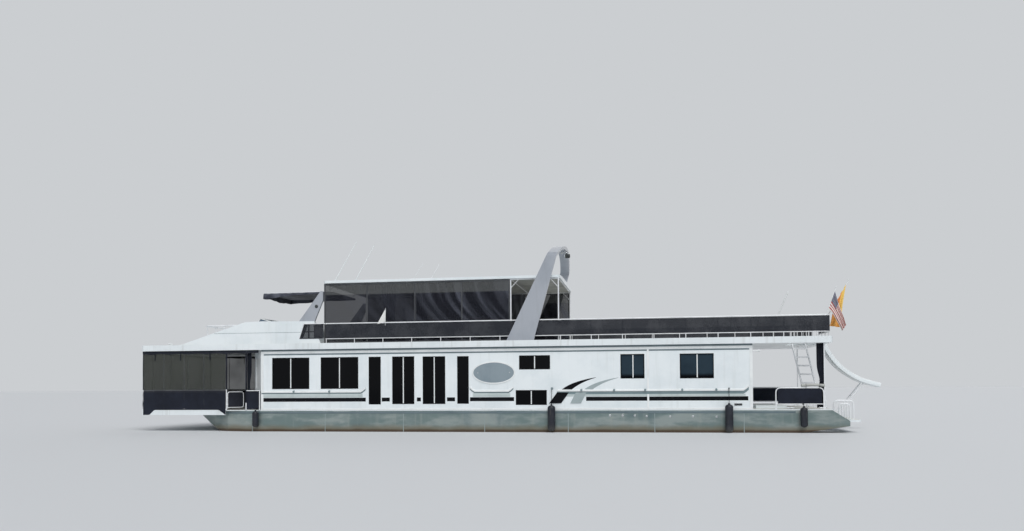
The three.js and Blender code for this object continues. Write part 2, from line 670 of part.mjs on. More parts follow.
function fin(side) {
  const profile = [[6470, 3850], [5870, 3850], [5543, 4626], [5543, 4950], [5620, 4970]];
  return cut(sideBlock(profile, across(side, 2262, 2342)), fairingOuter(SEAT));
}

// Hardtop

function hardtop() {
  const crown = [
    [-HARDTOP_HALF, HARDTOP_LOW], [HARDTOP_HALF, HARDTOP_LOW], [HARDTOP_HALF, HARDTOP_EDGE],
    [1500, 5368], [0, 5388], [-1500, 5368], [-HARDTOP_HALF, HARDTOP_EDGE],
  ];
  const corners = planBlock(roundedPlan(HARDTOP_BOW, HARDTOP_AFT, HARDTOP_HALF, 160, 3), [HARDTOP_LOW - 10, 5500]);
  const roof = crossBlock(crown, [HARDTOP_AFT, HARDTOP_BOW]).intersect(corners);
  const whips = [
    // base, tip
    { base: [5450, 1500, 5350], tip: [4600, 1500, 6810] },
    { base: [4670, 1500, 5350], tip: [3920, 1500, 6680] },
  ].map(({ base, tip }) => {
    const collar = V(...base).lerp(V(...tip), 0.08).toArray();
    return join(bar(base, collar, 26), bar(base, tip, 11, 6));
  });
  return join(roof, whips);
}

const HARDTOP_POSTS = [5490, 2160, -1173, -2807];

function hardtopFrame() {
  const r = POST_R - 2;
  const z = HARDTOP_LOW - flat(r) - SEAT;
  const sides = [1, -1].map((side) => {
    const y = side * POST_Y;
    const posts = HARDTOP_POSTS.map((x) => bar([x, y, ON_FLOOR], [x, y, z + 6], POST_R));
    const rail = bar([HARDTOP_POSTS.at(-1) - 36, y, z], [HARDTOP_POSTS[0] + 36, y, z], r);
    return join(posts, rail);
  });
  const bows = HARDTOP_POSTS.map((x) => bar([x, -POST_Y, z - 3], [x, POST_Y, z - 3], r - 4));
  return join(sides, bows);
}

function sideScreen(side) {
  const y = POST_Y + flat(POST_R) + SEAT;
  // The starboard screen runs on to the aft post
  const aft = side > 0 ? -1150 : -2790;
  return box([aft, 5510], across(side, y, y + SHEET), [ON_FLOOR + 120, HARDTOP_LOW - 12]);
}

function forwardAwning() {
  const fabric = sideBlock(
    [[HARDTOP_BOW + 60, 5062], [6900, 5052], [8300, 5040], [8300, 5026], [6900, 5038], [HARDTOP_BOW + 60, 5048]],
    [-1250, 1250],
  );
  const arms = [1, -1].map((side) => {
    const y = side * 1200;
    const plate = box([HARDTOP_BOW + SEAT, HARDTOP_BOW + 10], [y - 30, y + 30], [5240, 5300]);
    const path = [V(HARDTOP_BOW + 16, y, 5266), V(HARDTOP_BOW + 220, y, 5050), V(8280, y, 5034)];
    return join(plate, tube(path, 16));
  });
  return join(fabric, arms);
}

// Radar arch: a hoop whose chord narrows upward as it leans aft

const ARCH = {
  out: 2495, thick: 90, corner: 6010, crown: 6590, bar: 110,
  base: [-1050, -1980], head: [-2450, -2790], headZ: 6020,
};

function radarArch() {
  const rise = ARCH.crown - ARCH.corner - 80;
  const shoulder = ARCH.out - 150;
  const R = (shoulder ** 2 + rise ** 2) / (2 * rise);
  const crownArc = (drop, segments) => {
    const half = Math.asin(shoulder / R) * ((shoulder - drop / 2) / shoulder);
    return Array.from({ length: segments + 1 }, (_, i) => {
      const angle = half * (1 - (2 * i) / segments);
      return [(R - drop) * Math.sin(angle), ARCH.crown - R + (R - drop) * Math.cos(angle)];
    });
  };
  const inner = ARCH.out - ARCH.thick;
  const hoop = [
    [ARCH.out, ON_COAMING], [ARCH.out, ARCH.corner - 40], ...crownArc(0, 10),
    [-ARCH.out, ARCH.corner - 40], [-ARCH.out, ON_COAMING], [-inner, ON_COAMING], [-inner, ARCH.corner - 90],
    ...crownArc(ARCH.bar, 10).reverse(), [inner, ARCH.corner - 90], [inner, ON_COAMING],
  ];
  const flat = new THREE.ExtrudeGeometry(shapeOf(hoop), { depth: 2, bevelEnabled: false });
  flat.translate(0, 0, -1);
  const at = flat.attributes.position;
  for (let i = 0; i < at.count; i++) {
    const [y, z, across] = [at.getX(i), at.getY(i), at.getZ(i)];
    const t = (z - ON_COAMING) / (ARCH.headZ - ON_COAMING);
    const bow = ARCH.base[0] + (ARCH.head[0] - ARCH.base[0]) * Math.min(t, 1);
    const aft = ARCH.base[1] + (ARCH.head[1] - ARCH.base[1]) * Math.min(t, 1);
    const sweep = Math.max(t - 1, 0) * 700;
    at.setXYZ(i, (bow + aft) / 2 + (across * (bow - aft)) / 2 - sweep, y, z);
  }
  return solid(flat);
}

// Upper rails and their mesh

const RAIL = { bow: 5430, break: -11180, aft: -11560, gap: 560, low: 16 };
const POST = { rail: 15, roof: 20 };
const STAFF_R = 13;
const STAFFS = [
  { y: 2312, foot: [-11512, RAIL_TOP - 18], tip: [-12030, 4800] },
  { y: 2050, foot: [RAIL.aft, RAIL_TOP - 10], tip: [-12280, 4930] },
];

function upperRail(side) {
  const y = side * RAIL_Y;
  const [bow, aft] = [RAIL.bow, RAIL.break + SEAT];
  const runs = [bar([bow, y, RAIL_TOP], [aft, y, RAIL_TOP], RAIL_R), bar([bow, y, RAIL_LOW], [aft, y, RAIL_LOW], RAIL.low)];
  const spaces = 16;
  const posts = Array.from({ length: spaces + 1 }, (_, i) => {
    const x = bow - 20 + (i * (aft + 40 - bow)) / spaces;
    return bar([x, y, ON_FLOOR], [x, y, RAIL_TOP], POST.rail);
  });
  return join(runs, posts);
}

// The rail's last stretch turns round the corner and ends beside the slide
function sternRail(side) {
  const y = side * RAIL_Y;
  const run = (z) => [V(RAIL.break, y, z), V(RAIL.aft, y, z), V(RAIL.aft, side * RAIL.gap, z)];
  const rails = [tube(rounded(run(RAIL_TOP), 160), RAIL_R), tube(rounded(run(RAIL_LOW), 160), RAIL.low)];
  const posts = [2120, 1600, 1080, RAIL.gap].map((at) =>
    bar([RAIL.aft, side * at, ON_COAMING], [RAIL.aft, side * at, RAIL_TOP], POST.rail),
  );
  const staffs = side > 0 ? STAFFS : [];
  const poles = staffs.map(({ foot, tip, y: at }) => bar([foot[0], at, foot[1]], [tip[0], at, tip[1]], STAFF_R));
  return join(rails, posts, poles);
}

// Laced between the rails on the posts' outer faces, and round the stern corner
const MESH_OFF = flat(POST.rail) + SEAT;

function railMesh(side) {
  const edge = (off) => {
    const [y, aft] = [side * (RAIL_Y + off), RAIL.aft - off];
    const corners = [V(RAIL.bow - 10, y, 0), V(aft, y, 0), V(aft, side * (RAIL.gap + 10), 0)];
    return rounded(corners, 160 + off).map((p) => [p.x, p.y]);
  };
  const plan = [...edge(MESH_OFF), ...edge(MESH_OFF + SHEET).reverse()];
  return planBlock(plan, [RAIL_LOW + RAIL.low + 1, RAIL_TOP - RAIL_R - 8]);
}

// Porch

const PORCH = { y: 2420, r: 20, rail: 1470, head: 2872, gateAft: 8390, gateBow: 9140, bow: 12378 };
const GATE = { hinge: 9095, reach: 650, low: 850, high: 1410, r: 14 };

function porchFrame() {
  const { y, r, rail, head, gateAft, gateBow, bow } = PORCH;
  const full = ROOF_LOW - SEAT;
  const sides = [1, -1].map((side) => {
    const yy = side * y;
    const posts = [
      bar([gateBow, yy, DECK_TOP + SEAT], [gateBow, yy, full], r),
      bar([gateAft, yy, DECK_TOP + SEAT], [gateAft, yy, full], r),
      bar([bow, yy, FASCIA_HIGH + SEAT], [bow, yy, full], r),
      bar([7880, yy, DECK_TOP + SEAT], [7880, yy, rail], r - 4),
      bar([10760, yy, FASCIA_HIGH + SEAT], [10760, yy, full], r - 4),
    ];
    const rails = [
      bar([gateBow, yy, rail], [bow, yy, rail], 16),
      bar([7880, yy, rail - 20], [gateAft, yy, rail - 20], 16),
      bar([gateAft, yy, head], [bow, yy, head], 16),
    ];
    const panel = box([7880, gateAft], across(side, y - 6, y + 6), [790, rail - 20]);
    const foot = box([GATE.hinge - 16, gateBow], across(side, y - 14, y + 14), [820, GATE.low - 15 - SEAT]);
    const eye = cut(
      box([GATE.hinge - 24, gateBow], across(side, y - 24, y + 24), [1180, 1200]),
      lathe([[0, 1100], [GATE.r + 0.4, 1100], [GATE.r + 0.4, 1300], [0, 1300]], [GATE.hinge, yy, 0]),
    );
    return join(posts, rails, panel, foot, eye);
  });
  const front = [-1800, -600, 600, 1800].map((at) => bar([bow, at, FASCIA_HIGH + SEAT], [bow, at, full], r - 4));
  const cross = [rail, head].map((z) => bar([bow, -y, z], [bow, y, z], 16));
  return join(sides, front, cross);
}

// Fabric lower panels, one sheet round three sides, with its hem cut up over the deck edge
function porchSkirt() {
  const [out, thick] = [FASCIA_HALF + SEAT, 6];
  const sideHem = [
    [FORE_DECK_AFT, 1450], [FORE_DECK_BOW + SEAT + thick, 1450], [FORE_DECK_BOW + SEAT + thick, 590],
    [12130, 590], [11930, 770], [9430, 770], [FORE_DECK_AFT, 590],
  ];
  const sides = [1, -1].map((side) => sideBlock(sideHem, across(side, out, out + thick)));
  const front = box([FORE_DECK_BOW + SEAT, FORE_DECK_BOW + SEAT + thick], [-out - 1, out + 1], [590, 1450]);
  return join(sides, front);
}

function porchScreen() {
  const [out, thick] = [FASCIA_HALF + SEAT, SHEET];
  const x = [FORE_DECK_AFT, FORE_DECK_BOW + SEAT + thick];
  const z = [1450 + SEAT, ROOF_LOW - 5];
  const sides = [1, -1].map((side) => box(x, across(side, out, out + thick), z));
  const front = box([FORE_DECK_BOW + SEAT, x[1]], [-out - 1, out + 1], z);
  const valances = [1, -1].map((side) => box([FORE_DECK_AFT, x[1]], across(side, out, out + 22), [2670, ROOF_LOW - 8]));
  const frontValance = box([FORE_DECK_BOW + SEAT, FORE_DECK_BOW + 24], [-out - 20, out + 20], [2670, ROOF_LOW - 8]);
  return join(sides, front, valances, frontValance);
}

// The gate hangs on its aft-facing stile, drawn shut about the hinge
function porchGate() {
  const { reach, low, high, r } = GATE;
  const loop = [
    V(0, 0, low - 15), V(0, 0, high), V(-reach, 0, high), V(-reach, 0, low), V(-10, 0, low),
  ];
  const frame = tube(rounded(loop, 90), r);
  const middle = bar([0, 0, 1130], [-reach, 0, 1130], 10);
  return join(frame, middle);
}

// Aft deck

function aftRail(side, bow) {
  const y = side * 2380;
  const [aft, r, high, low] = [-11330, 18, 1450, 925];
  const loop = [V(bow, y, DECK_TOP + SEAT), V(bow, y, high), V(aft, y, high), V(aft, y, DECK_TOP + SEAT)];
  const hoop = tube(rounded(loop, 160), r);
  const foot = bar([bow, y, low], [aft, y, low], 14);
  const roofPost = bar([aft - 32, y, DECK_TOP + SEAT], [aft - 32, y, ROOF_LOW - SEAT], POST.roof);
  const panel = box([aft + 10, bow - 10], across(side, 2376, 2384), [low, high - 20]);
  return join(hoop, foot, roofPost, cut(panel, box([bow - 70, bow + 50], [-3000, 3000], [high - 90, high + 50]), box([aft - 50, aft + 70], [-3000, 3000], [high - 90, high + 50])));
}

// A curtain drawn back to the port post, hung from the roof
function aftCurtain() {
  const folds = 5;
  const edge = (lift) => Array.from({ length: 2 * folds + 1 }, (_, i) => [-11400 + (i * 270) / (2 * folds), 2280 + (i % 2) * 36 + lift]);
  return planBlock([...edge(0), ...edge(16).reverse()], [800, ROOF_LOW - SEAT]);
}

function ladder() {
  const { top, foot, spread, r } = LADDER;
  const high = 3060;
  const fall = V(foot[0] - top[0], foot[1] - top[1], 0);
  const along = V(-fall.y, fall.x, 0).normalize().multiplyScalar(-1);
  const at = (side, z) => {
    const t = (high - z) / (high - DECK_TOP);
    return V(top[0], top[1], z).addScaledVector(fall, t).addScaledVector(along, side * spread);
  };
  const stiles = [1, -1].map((side) => bar(at(side, DECK_TOP + 12).toArray(), at(side, high).toArray(), r));
  const rungs = Array.from({ length: 8 }, (_, i) => {
    const z = DECK_TOP + 290 * (i + 0.9);
    return bar(at(1, z).toArray(), at(-1, z).toArray(), 14);
  });
  const shoes = [1, -1].map((side) => {
    const p = at(side, DECK_TOP + 12);
    return box([p.x - 35, p.x + 35], [p.y - 35, p.y + 35], [DECK_TOP + SEAT, DECK_TOP + 16]);
  });
  return join(stiles, rungs, shoes);
}

// Slide: a channel that leaves the upper deck between the stern rails and ends over the water

function slide() {
  const line = new THREE.SplineCurve([
    [-11120, 3032], [-11480, 3032], [-11660, 3022], [-11760, 2900], [-11910, 2600],
    [-12190, 2220], [-12520, 1930], [-12920, 1686], [-13280, 1560], [-13600, 1470],
  ].map(([x, z]) => new THREE.Vector2(x, z)));
  const steps = 20;
  const band = (low, high) => {
    const edge = (offset) => Array.from({ length: steps + 1 }, (_, i) => {
      const p = line.getPointAt(i / steps);
      const t = line.getTangentAt(i / steps);
      return [p.x + t.y * offset, p.y - t.x * offset];
    });
    return [...edge(low), ...edge(high).reverse()];
  };
  const floor = sideBlock(band(-28, 0), [-SLIDE_HALF, SLIDE_HALF]);
  const walls = [1, -1].map((side) => sideBlock(band(-28, 130), across(side, SLIDE_HALF - 5, SLIDE_HALF + 22)));
  const struts = [1, -1].map((side) => bar([-13080, side * 220, 1590], [-12060, side * 220, PLATFORM.high + 10], 18));
  const feet = [1, -1].map((side) => box([-12110, -12010], across(side, 180, 260), [PLATFORM.high + SEAT, PLATFORM.high + 16]));
  const grips = [1, -1].map((side) => {
    const y = side * (SLIDE_HALF + 45);
    const loop = [V(-11400, y, ON_FLOOR), V(-11400, y, 3760), V(-10900, y, 3760), V(-10900, y, ON_FLOOR)];
    const tie = bar([-11400, side * (SLIDE_HALF + 10), 3090], [-11400, y, 3090], 12);
    return join(tube(rounded(loop, 140), 17), tie);
  });
  const pads = box([-11160, -11120], [-150, 150], [ON_FLOOR, 3020]);
  const platform = box([-12300, -11900], [-400, 400], [0, PLATFORM.high + SEAT]);
  return cut(join(floor, walls, struts, feet, grips, pads), platform);
}

function fender(radius, length) {
  const half = length / 2;
  const dome = [[0, -half], [radius * 0.6, -half + radius * 0.18], [radius, -half + radius * 0.75]];
  const eye = [[radius, half - radius * 0.75], [radius * 0.6, half - radius * 0.18], [radius * 0.25, half], [radius * 0.25, half + 40], [0, half + 40]];
  return lathe([...dome, ...eye], [0, 0, 0]);
}

// A limp flag against its staff, as folded cloth seen from the side
function limpFlag(points, y) {
  return sideBlock(points, [y, y + 24]);
}

// Assembly

add("hull", hull(), "hullMetal");
add("main_deck", mainDeck(), "gelcoat");
add("swim_platform", swimPlatform(), "gelcoat");
for (const [side, name] of [[1, "port"], [-1, "starboard"]]) {
  const engine = box([-450, 450], [-350, 350], [BAY_FLOOR + SEAT, 400]);
  add(`${name}_engine`, engine, "engine", [-9800, side * ENGINE_Y, 0]);
  add(`${name}_engine_hatch`, engineLid(side), "gelcoat");
  add(`${name}_drive_leg`, driveLeg(), "engine", [DRIVE_X, side * DRIVE_Y, 0]);
  add(`${name}_propeller`, propeller(), "bronze", [DRIVE_X - 480, side * DRIVE_Y, PROP_Z]);
  for (const panel of PANELS) add(`${name}_wall_${panel.name}`, wallPanel(side, panel), "gelcoat");
  add(`${name}_windows`, windowBand(side), "glass");
  add(`${name}_bridge_fin`, fin(side), "fin");
  add(`${name}_side_screen`, sideScreen(side), "mesh");
  add(`${name}_upper_rail`, upperRail(side), "tube");
  add(`${name}_stern_rail`, sternRail(side), "tube");
  add(`${name}_rail_mesh`, railMesh(side), "mesh");
}
add("front_bulkhead", frontBulkhead(), "gelcoat");
add("front_glazing", frontGlazing(), "glass");
add("front_sliding_door", slidingDoor(), "glass");
add("aft_bulkhead", aftBulkhead(), "gelcoat");
add("aft_door", aftDoor(), "gelcoat");
add("upper_deck", upperDeck(), "gelcoat");
add("bridge_fairing", bridgeFairing(), "gelcoat");
add("windshield", windshield(), "glass");
add("helm_console", helmConsole(), "gelcoat");
add("helm_seat", helmSeat(), "vinyl");
add("slope_rail", slopeRail(), "tube");
add("hardtop", hardtop(), "gelcoat");
add("hardtop_frame", hardtopFrame(), "tube");
add("forward_awning", forwardAwning(), "navy");
add("radar_arch", radarArch(), "fin");
add("porch_frame", porchFrame(), "tube");
add("porch_skirt", porchSkirt(), "navy");
add("porch_screen", porchScreen(), "screen");

const portGate = new THREE.Group();
portGate.position.set(GATE.hinge, PORCH.y, 0);
portGate.rotation.z = THREE.MathUtils.degToRad(60);
houseboat.add(portGate);
add("port_gate", porchGate(), "tube");
portGate.add(houseboat.getObjectByName("port_gate"));
add("starboard_gate", porchGate(), "tube", [GATE.hinge, -PORCH.y, 0]);

add("port_aft_rail", aftRail(1, -9850), "tube");
add("starboard_aft_rail", aftRail(-1, -9250), "tube");
add("aft_curtain", aftCurtain(), "navy");
add("boarding_ladder", ladder(), "tube");
add("slide", slide(), "gelcoat");

const FENDERS = [
  // name, x, foot and top of the body, radius
  { name: "fender_bow", x: 7980, z: [155, 725], r: 112 },
  { name: "fender_middle", x: -2570, z: [40, 910], r: 130 },
  { name: "fender_quarter", x: -8360, z: [20, 930], r: 130 },
  { name: "fender_stern", x: -10690, z: [180, 830], r: 115 },
];
for (const { name, x, z, r } of FENDERS) {
  add(name, fender(r, z[1] - z[0]), "fender", [x, HULL_HALF + SEAT + r, (z[0] + z[1]) / 2]);
}

const ENSIGN = [[-11690, 4480], [-11790, 4520], [-12010, 3960], [-12060, 3300], [-11830, 3340], [-11740, 3960]];
const PENNANT = [[-11860, 4450], [-11960, 4480], [-12050, 4100], [-12000, 3720], [-11780, 3700], [-11800, 4100]];
const BESIDE_STAFF = flat(STAFF_R) + SEAT;
add("ensign_flag", limpFlag(ENSIGN, STAFFS[0].y + BESIDE_STAFF), "flagRed");
add("pennant_flag", limpFlag(PENNANT, STAFFS[1].y + BESIDE_STAFF), "flagYellow");

export default houseboat;
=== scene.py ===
import math

import bmesh
import bpy
from mathutils import Matrix, Vector, noise
from mathutils.bvhtree import BVHTree


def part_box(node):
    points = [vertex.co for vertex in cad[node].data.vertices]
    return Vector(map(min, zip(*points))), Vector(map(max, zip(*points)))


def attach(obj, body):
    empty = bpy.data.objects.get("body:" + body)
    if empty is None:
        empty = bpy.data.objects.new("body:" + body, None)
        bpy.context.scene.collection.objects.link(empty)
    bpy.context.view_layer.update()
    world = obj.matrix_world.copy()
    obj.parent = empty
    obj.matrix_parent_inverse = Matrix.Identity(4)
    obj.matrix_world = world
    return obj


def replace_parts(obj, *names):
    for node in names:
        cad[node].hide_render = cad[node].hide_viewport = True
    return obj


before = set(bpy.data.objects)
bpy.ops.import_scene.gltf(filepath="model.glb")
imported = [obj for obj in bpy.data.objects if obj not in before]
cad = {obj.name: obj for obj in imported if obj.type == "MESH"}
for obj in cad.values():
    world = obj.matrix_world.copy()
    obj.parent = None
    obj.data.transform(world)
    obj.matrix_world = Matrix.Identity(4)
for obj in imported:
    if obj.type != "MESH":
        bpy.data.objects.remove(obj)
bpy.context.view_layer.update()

SIDES = {"port": 1, "starboard": -1}

# Faces that trim sits on, read from the frame
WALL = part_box("port_wall_forward")[1].y
CABIN_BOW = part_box("port_wall_forward")[1].x
CABIN_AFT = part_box("port_wall_aft")[0].x
SEAM_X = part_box("port_wall_aft")[1].x
HULL_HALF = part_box("hull")[1].y
DECK_TOP = 0.76
FASCIA_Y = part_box("main_deck")[1].y
ROOF_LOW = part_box("upper_deck")[0].z
ROOF_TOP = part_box("upper_deck")[1].z
ROOF_FLOOR = 2.98

GAP = 0.0005    # between a fitting and the face that it stands on
UP = Vector((0, 0, 1))


# Shapes

def angles(count, closed=False):
    """Even steps of a full turn; a closed row ends where it began."""
    return [2 * math.pi * k / count for k in range(count + closed)]


def ordered(one, other):
    """Two values, the lower one first."""
    return tuple(sorted((one, other)))


def ramp(value, start, end):
    """0 up to start, 1 past end, and even between."""
    return min(max((value - start) / (end - start), 0), 1)


def in_plan(x, y, z):
    """For an outline drawn in plan and run upwards."""
    return (x, y, z)


def in_profile(x, z, y):
    """For an outline drawn in side view and run across the boat."""
    return (x, y, z)


class Shape:
    """One piece's mesh while it is put together."""

    def __init__(self):
        self.bm = bmesh.new()

    def ring(self, points):
        return [self.bm.verts.new(point) for point in points]

    def skin(self, rings, closed=True):
        """Faces between rows of vertices; closed rows join end to start."""
        for low, high in zip(rings, rings[1:]):
            count = len(low)
            for i in range(count if closed else count - 1):
                j = (i + 1) % count
                self.bm.faces.new((low[i], low[j], high[j], high[i]))

    def solid(self, rings):
        """A skin over rings of vertices, with both of its ends closed."""
        self.skin(rings)
        self.bm.faces.new(rings[0][::-1])
        self.bm.faces.new(rings[-1])

    def prism(self, outline, place, span):
        """An outline run between two depths; place(u, v, depth) gives each point."""
        self.solid([self.ring([place(u, v, depth) for u, v in outline]) for depth in span])
        return self

    def box(self, x, y, z):
        outline = [(x[0], y[0]), (x[1], y[0]), (x[1], y[1]), (x[0], y[1])]
        return self.prism(outline, in_plan, z)

    def tube(self, points, radius, sides=12):
        """A round bar along a path, with flat ends."""
        path = [Vector(point) for point in points]
        rings = []
        normal = None
        for i, at in enumerate(path):
            tangent = (path[min(i + 1, len(path) - 1)] - path[max(i - 1, 0)]).normalized()
            normal = tangent.orthogonal() if normal is None else normal - tangent * normal.dot(tangent)
            normal.normalize()
            other = tangent.cross(normal)
            rings.append(self.ring([at + (normal * math.cos(a) + other * math.sin(a)) * radius
                                    for a in angles(sides)]))
        self.solid(rings)
        return self

    def lathe(self, profile, at, axis="Z", segments=20):
        """A profile of (radius, height) turned about an axis through at."""
        turn = {"Z": Matrix(), "X": Matrix.Rotation(math.pi / 2, 4, "Y"),
                "Y": Matrix.Rotation(-math.pi / 2, 4, "X")}[axis]
        place = Matrix.Translation(at) @ turn
        self.solid([
            self.ring([place @ Vector((r * math.cos(a), r * math.sin(a), h)) for a in angles(segments)])
            for r, h in profile
        ])
        return self

    def stud(self, profile, at, side, segments=20):
        """A small round fitting that stands out to one side of the boat."""
        return self.lathe([(r, side * h) for r, h in profile], at, "Y", segments)

    def sheet(self, rows):
        self.skin([self.ring(row) for row in rows], closed=False)
        return self

    def thicken(self, depth):
        """Turns an open sheet into closed cloth of that thickness."""
        bmesh.ops.recalc_face_normals(self.bm, faces=self.bm.faces)
        bmesh.ops.solidify(self.bm, geom=self.bm.faces[:], thickness=depth)
        return self

    def bevel(self, width, segments=2):
        bmesh.ops.remove_doubles(self.bm, verts=self.bm.verts, dist=1e-5)
        bmesh.ops.recalc_face_normals(self.bm, faces=self.bm.faces)
        edges = [edge for edge in self.bm.edges if edge.is_manifold and edge.calc_face_angle() > 0.6]
        bmesh.ops.bevel(self.bm, geom=edges, offset=width, segments=segments, affect="EDGES", profile=0.5)
        return self

    def done(self, name, finish, body="boat", slot=None, smooth=40):
        bmesh.ops.recalc_face_normals(self.bm, faces=self.bm.faces)
        mesh = bpy.data.meshes.new(name)
        self.bm.to_mesh(mesh)
        self.bm.free()
        mesh.shade_smooth()
        mesh.set_sharp_from_angle(angle=math.radians(smooth))
        piece = bpy.data.objects.new(name, mesh)
        bpy.context.scene.collection.objects.link(piece)
        mesh.materials.append(finish)
        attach(piece, body)
        return piece


def rounded(points, radius, steps=5):
    """Corner points with each inner corner bent to a curve."""
    points = [Vector(point) for point in points]
    path = [points[0]]
    for before, corner, after in zip(points, points[1:], points[2:]):
        start = corner + (before - corner).normalized() * radius
        end = corner + (after - corner).normalized() * radius
        for k in range(steps + 1):
            t = k / steps
            path.append(start * (1 - t) ** 2 + corner * 2 * t * (1 - t) + end * t ** 2)
    path.append(points[-1])
    return path


def ripple(point, scale, seed=0):
    """Smooth noise between -1 and 1, the same on every run."""
    return noise.noise(Vector(point) * scale + Vector((seed * 7.3, seed * 3.1, seed * 5.7)))


# Shader wiring

def rgb(red, green, blue):
    """A colour given as it shows in the photograph, 0 to 255."""
    def linear(value):
        value /= 255
        return value / 12.92 if value <= 0.04045 else ((value + 0.055) / 1.055) ** 2.4
    return (linear(red), linear(green), linear(blue), 1)


class Wires:
    """Short calls that add nodes to one tree and link them."""

    def __init__(self, tree):
        self.tree = tree

    def put(self, kind, sockets, out=0, **settings):
        made = self.tree.nodes.new("ShaderNode" + kind)
        for name, value in settings.items():
            setattr(made, name, value)
        for name, value in sockets.items():
            self.set(made.inputs[name], value)
        return made.outputs[out]

    def set(self, socket, value):
        if isinstance(value, bpy.types.NodeSocket):
            self.tree.links.new(value, socket)
        else:
            socket.default_value = value

    def place(self):
        return self.put("TexCoord", {}, out="Object")

    def axes(self, vector):
        made = self.tree.nodes.new("ShaderNodeSeparateXYZ")
        self.set(made.inputs[0], vector)
        return made.outputs

    def stretch(self, vector, scale):
        return self.put("VectorMath", {0: vector, 1: scale}, operation="MULTIPLY")

    def math(self, kind, a, b=0.0):
        return self.put("Math", {0: a, 1: b}, operation=kind)

    def line(self, value, slope, start):
        """start where the value is 0, rising by slope for each unit of it."""
        return self.put("Math", {0: value, 1: slope, 2: start}, operation="MULTIPLY_ADD")

    def noise(self, vector, scale, detail=4.0, rough=0.55):
        return self.put("TexNoise",
                        {"Vector": vector, "Scale": scale, "Detail": detail, "Roughness": rough})

    def fade(self, value, low, high):
        """0 under low, 1 over high, and smooth between."""
        sockets = {"Value": value, "From Min": low, "From Max": high}
        return self.put("MapRange", sockets, interpolation_type="SMOOTHSTEP")

    def mix(self, mask, first, second):
        return self.put("Mix", {0: mask, 6: first, 7: second}, out=2, data_type="RGBA")

    def bump(self, height, strength, distance, normal=None):
        sockets = {"Height": height, "Strength": strength, "Distance": distance}
        if normal is not None:
            sockets["Normal"] = normal
        return self.put("Bump", sockets)

    def effect(self, group, values):
        made = self.tree.nodes.new("ShaderNodeGroup")
        made.node_tree = group
        for name, value in values.items():
            self.set(made.inputs[name], value)
        return made.outputs


def effect_group(name, inputs, outputs):
    """An empty node group with named sockets, its wires and its two ends."""
    tree = bpy.data.node_groups.new(name, "ShaderNodeTree")
    for label, value in inputs.items():
        tree.interface.new_socket(label, in_out="INPUT",
                                  socket_type="NodeSocketFloat").default_value = value
    for label in outputs:
        tree.interface.new_socket(label, in_out="OUTPUT", socket_type="NodeSocketFloat")
    start = tree.nodes.new("NodeGroupInput").outputs
    end = tree.nodes.new("NodeGroupOutput").inputs
    return tree, Wires(tree), start, end


def weathering_group():
    """Soft patches all over, and runs that hang down the surface."""
    tree, wires, start, end = effect_group("weathering", {"Scale": 1.0}, ["Patches", "Runs"])
    at = wires.place()
    wires.set(end["Patches"], wires.noise(at, start["Scale"], 5.0, 0.6))
    hung = wires.stretch(at, (9.0, 9.0, 0.7))
    wires.set(end["Runs"], wires.fade(wires.noise(hung, start["Scale"], 3.0), 0.52, 0.74))
    return tree


def height_band_group():
    """1 under Low and 0 over High, with an uneven edge."""
    tree, wires, start, end = effect_group("height_band", {"Low": 0.0, "High": 0.1, "Waver": 0.03},
                                           ["Mask"])
    at = wires.place()
    wave = wires.math("SUBTRACT", wires.noise(at, 1.3, 4.0), 0.5)
    height = wires.math("ADD", wires.axes(at)[2], wires.math("MULTIPLY", wave, start["Waver"]))
    wires.set(end["Mask"], wires.math("SUBTRACT", 1.0, wires.fade(height, start["Low"], start["High"])))
    return tree


def weave_group():
    """Crossing threads; Threads is how many there are in a metre."""
    tree, wires, start, end = effect_group("weave", {"Threads": 400.0}, ["Height", "Thread"])
    turn = wires.math("MULTIPLY", start["Threads"], math.pi)
    waves = [wires.math("SINE", wires.math("MULTIPLY", axis, turn)) for axis in wires.axes(wires.place())]
    pairs = [wires.math("MULTIPLY", waves[i], waves[(i + 1) % 3]) for i in range(3)]
    total = wires.math("ADD", wires.math("ADD", pairs[0], pairs[1]), pairs[2])
    wires.set(end["Height"], wires.line(total, 0.35, 0.5))
    slub = wires.noise(wires.stretch(wires.place(), (60.0, 60.0, 9.0)), 4.0, 2.0)
    wires.set(end["Thread"], slub)
    return tree


def brushing_group():
    """Fine grain of drawn or sanded metal, along X."""
    tree, wires, start, end = effect_group("brushing", {"Scale": 30.0}, ["Grain"])
    drawn = wires.stretch(wires.place(), (0.15, 3.0, 3.0))
    wires.set(end["Grain"], wires.noise(drawn, start["Scale"], 4.0, 0.65))
    return tree


def grip_group():
    """Moulded non-skid studs, only where the surface faces up; Size is studs in a metre."""
    tree, wires, start, end = effect_group("grip", {"Size": 90.0}, ["Height", "Tread"])
    studs = wires.put("TexVoronoi", {"Vector": wires.place(), "Scale": start["Size"], "Randomness": 0.35})
    normal = wires.put("NewGeometry", {}, out="Normal")
    tread = wires.fade(wires.axes(normal)[2], 0.9, 0.97)
    wires.set(end["Tread"], tread)
    wires.set(end["Height"], wires.math("MULTIPLY", wires.math("SUBTRACT", 1.0, studs), tread))
    return tree


WEATHERING = weathering_group()
HEIGHT_BAND = height_band_group()
WEAVE = weave_group()
BRUSHING = brushing_group()
GRIP = grip_group()


# Materials

def material(name, **plain):
    """A material, its wires and its Principled shader with plain values set."""
    made = bpy.data.materials.new(name)
    made.use_nodes = True
    shader = made.node_tree.nodes["Principled BSDF"]
    for label, value in plain.items():
        shader.inputs[label.replace("_", " ")].default_value = value
    return made, Wires(made.node_tree), shader.inputs


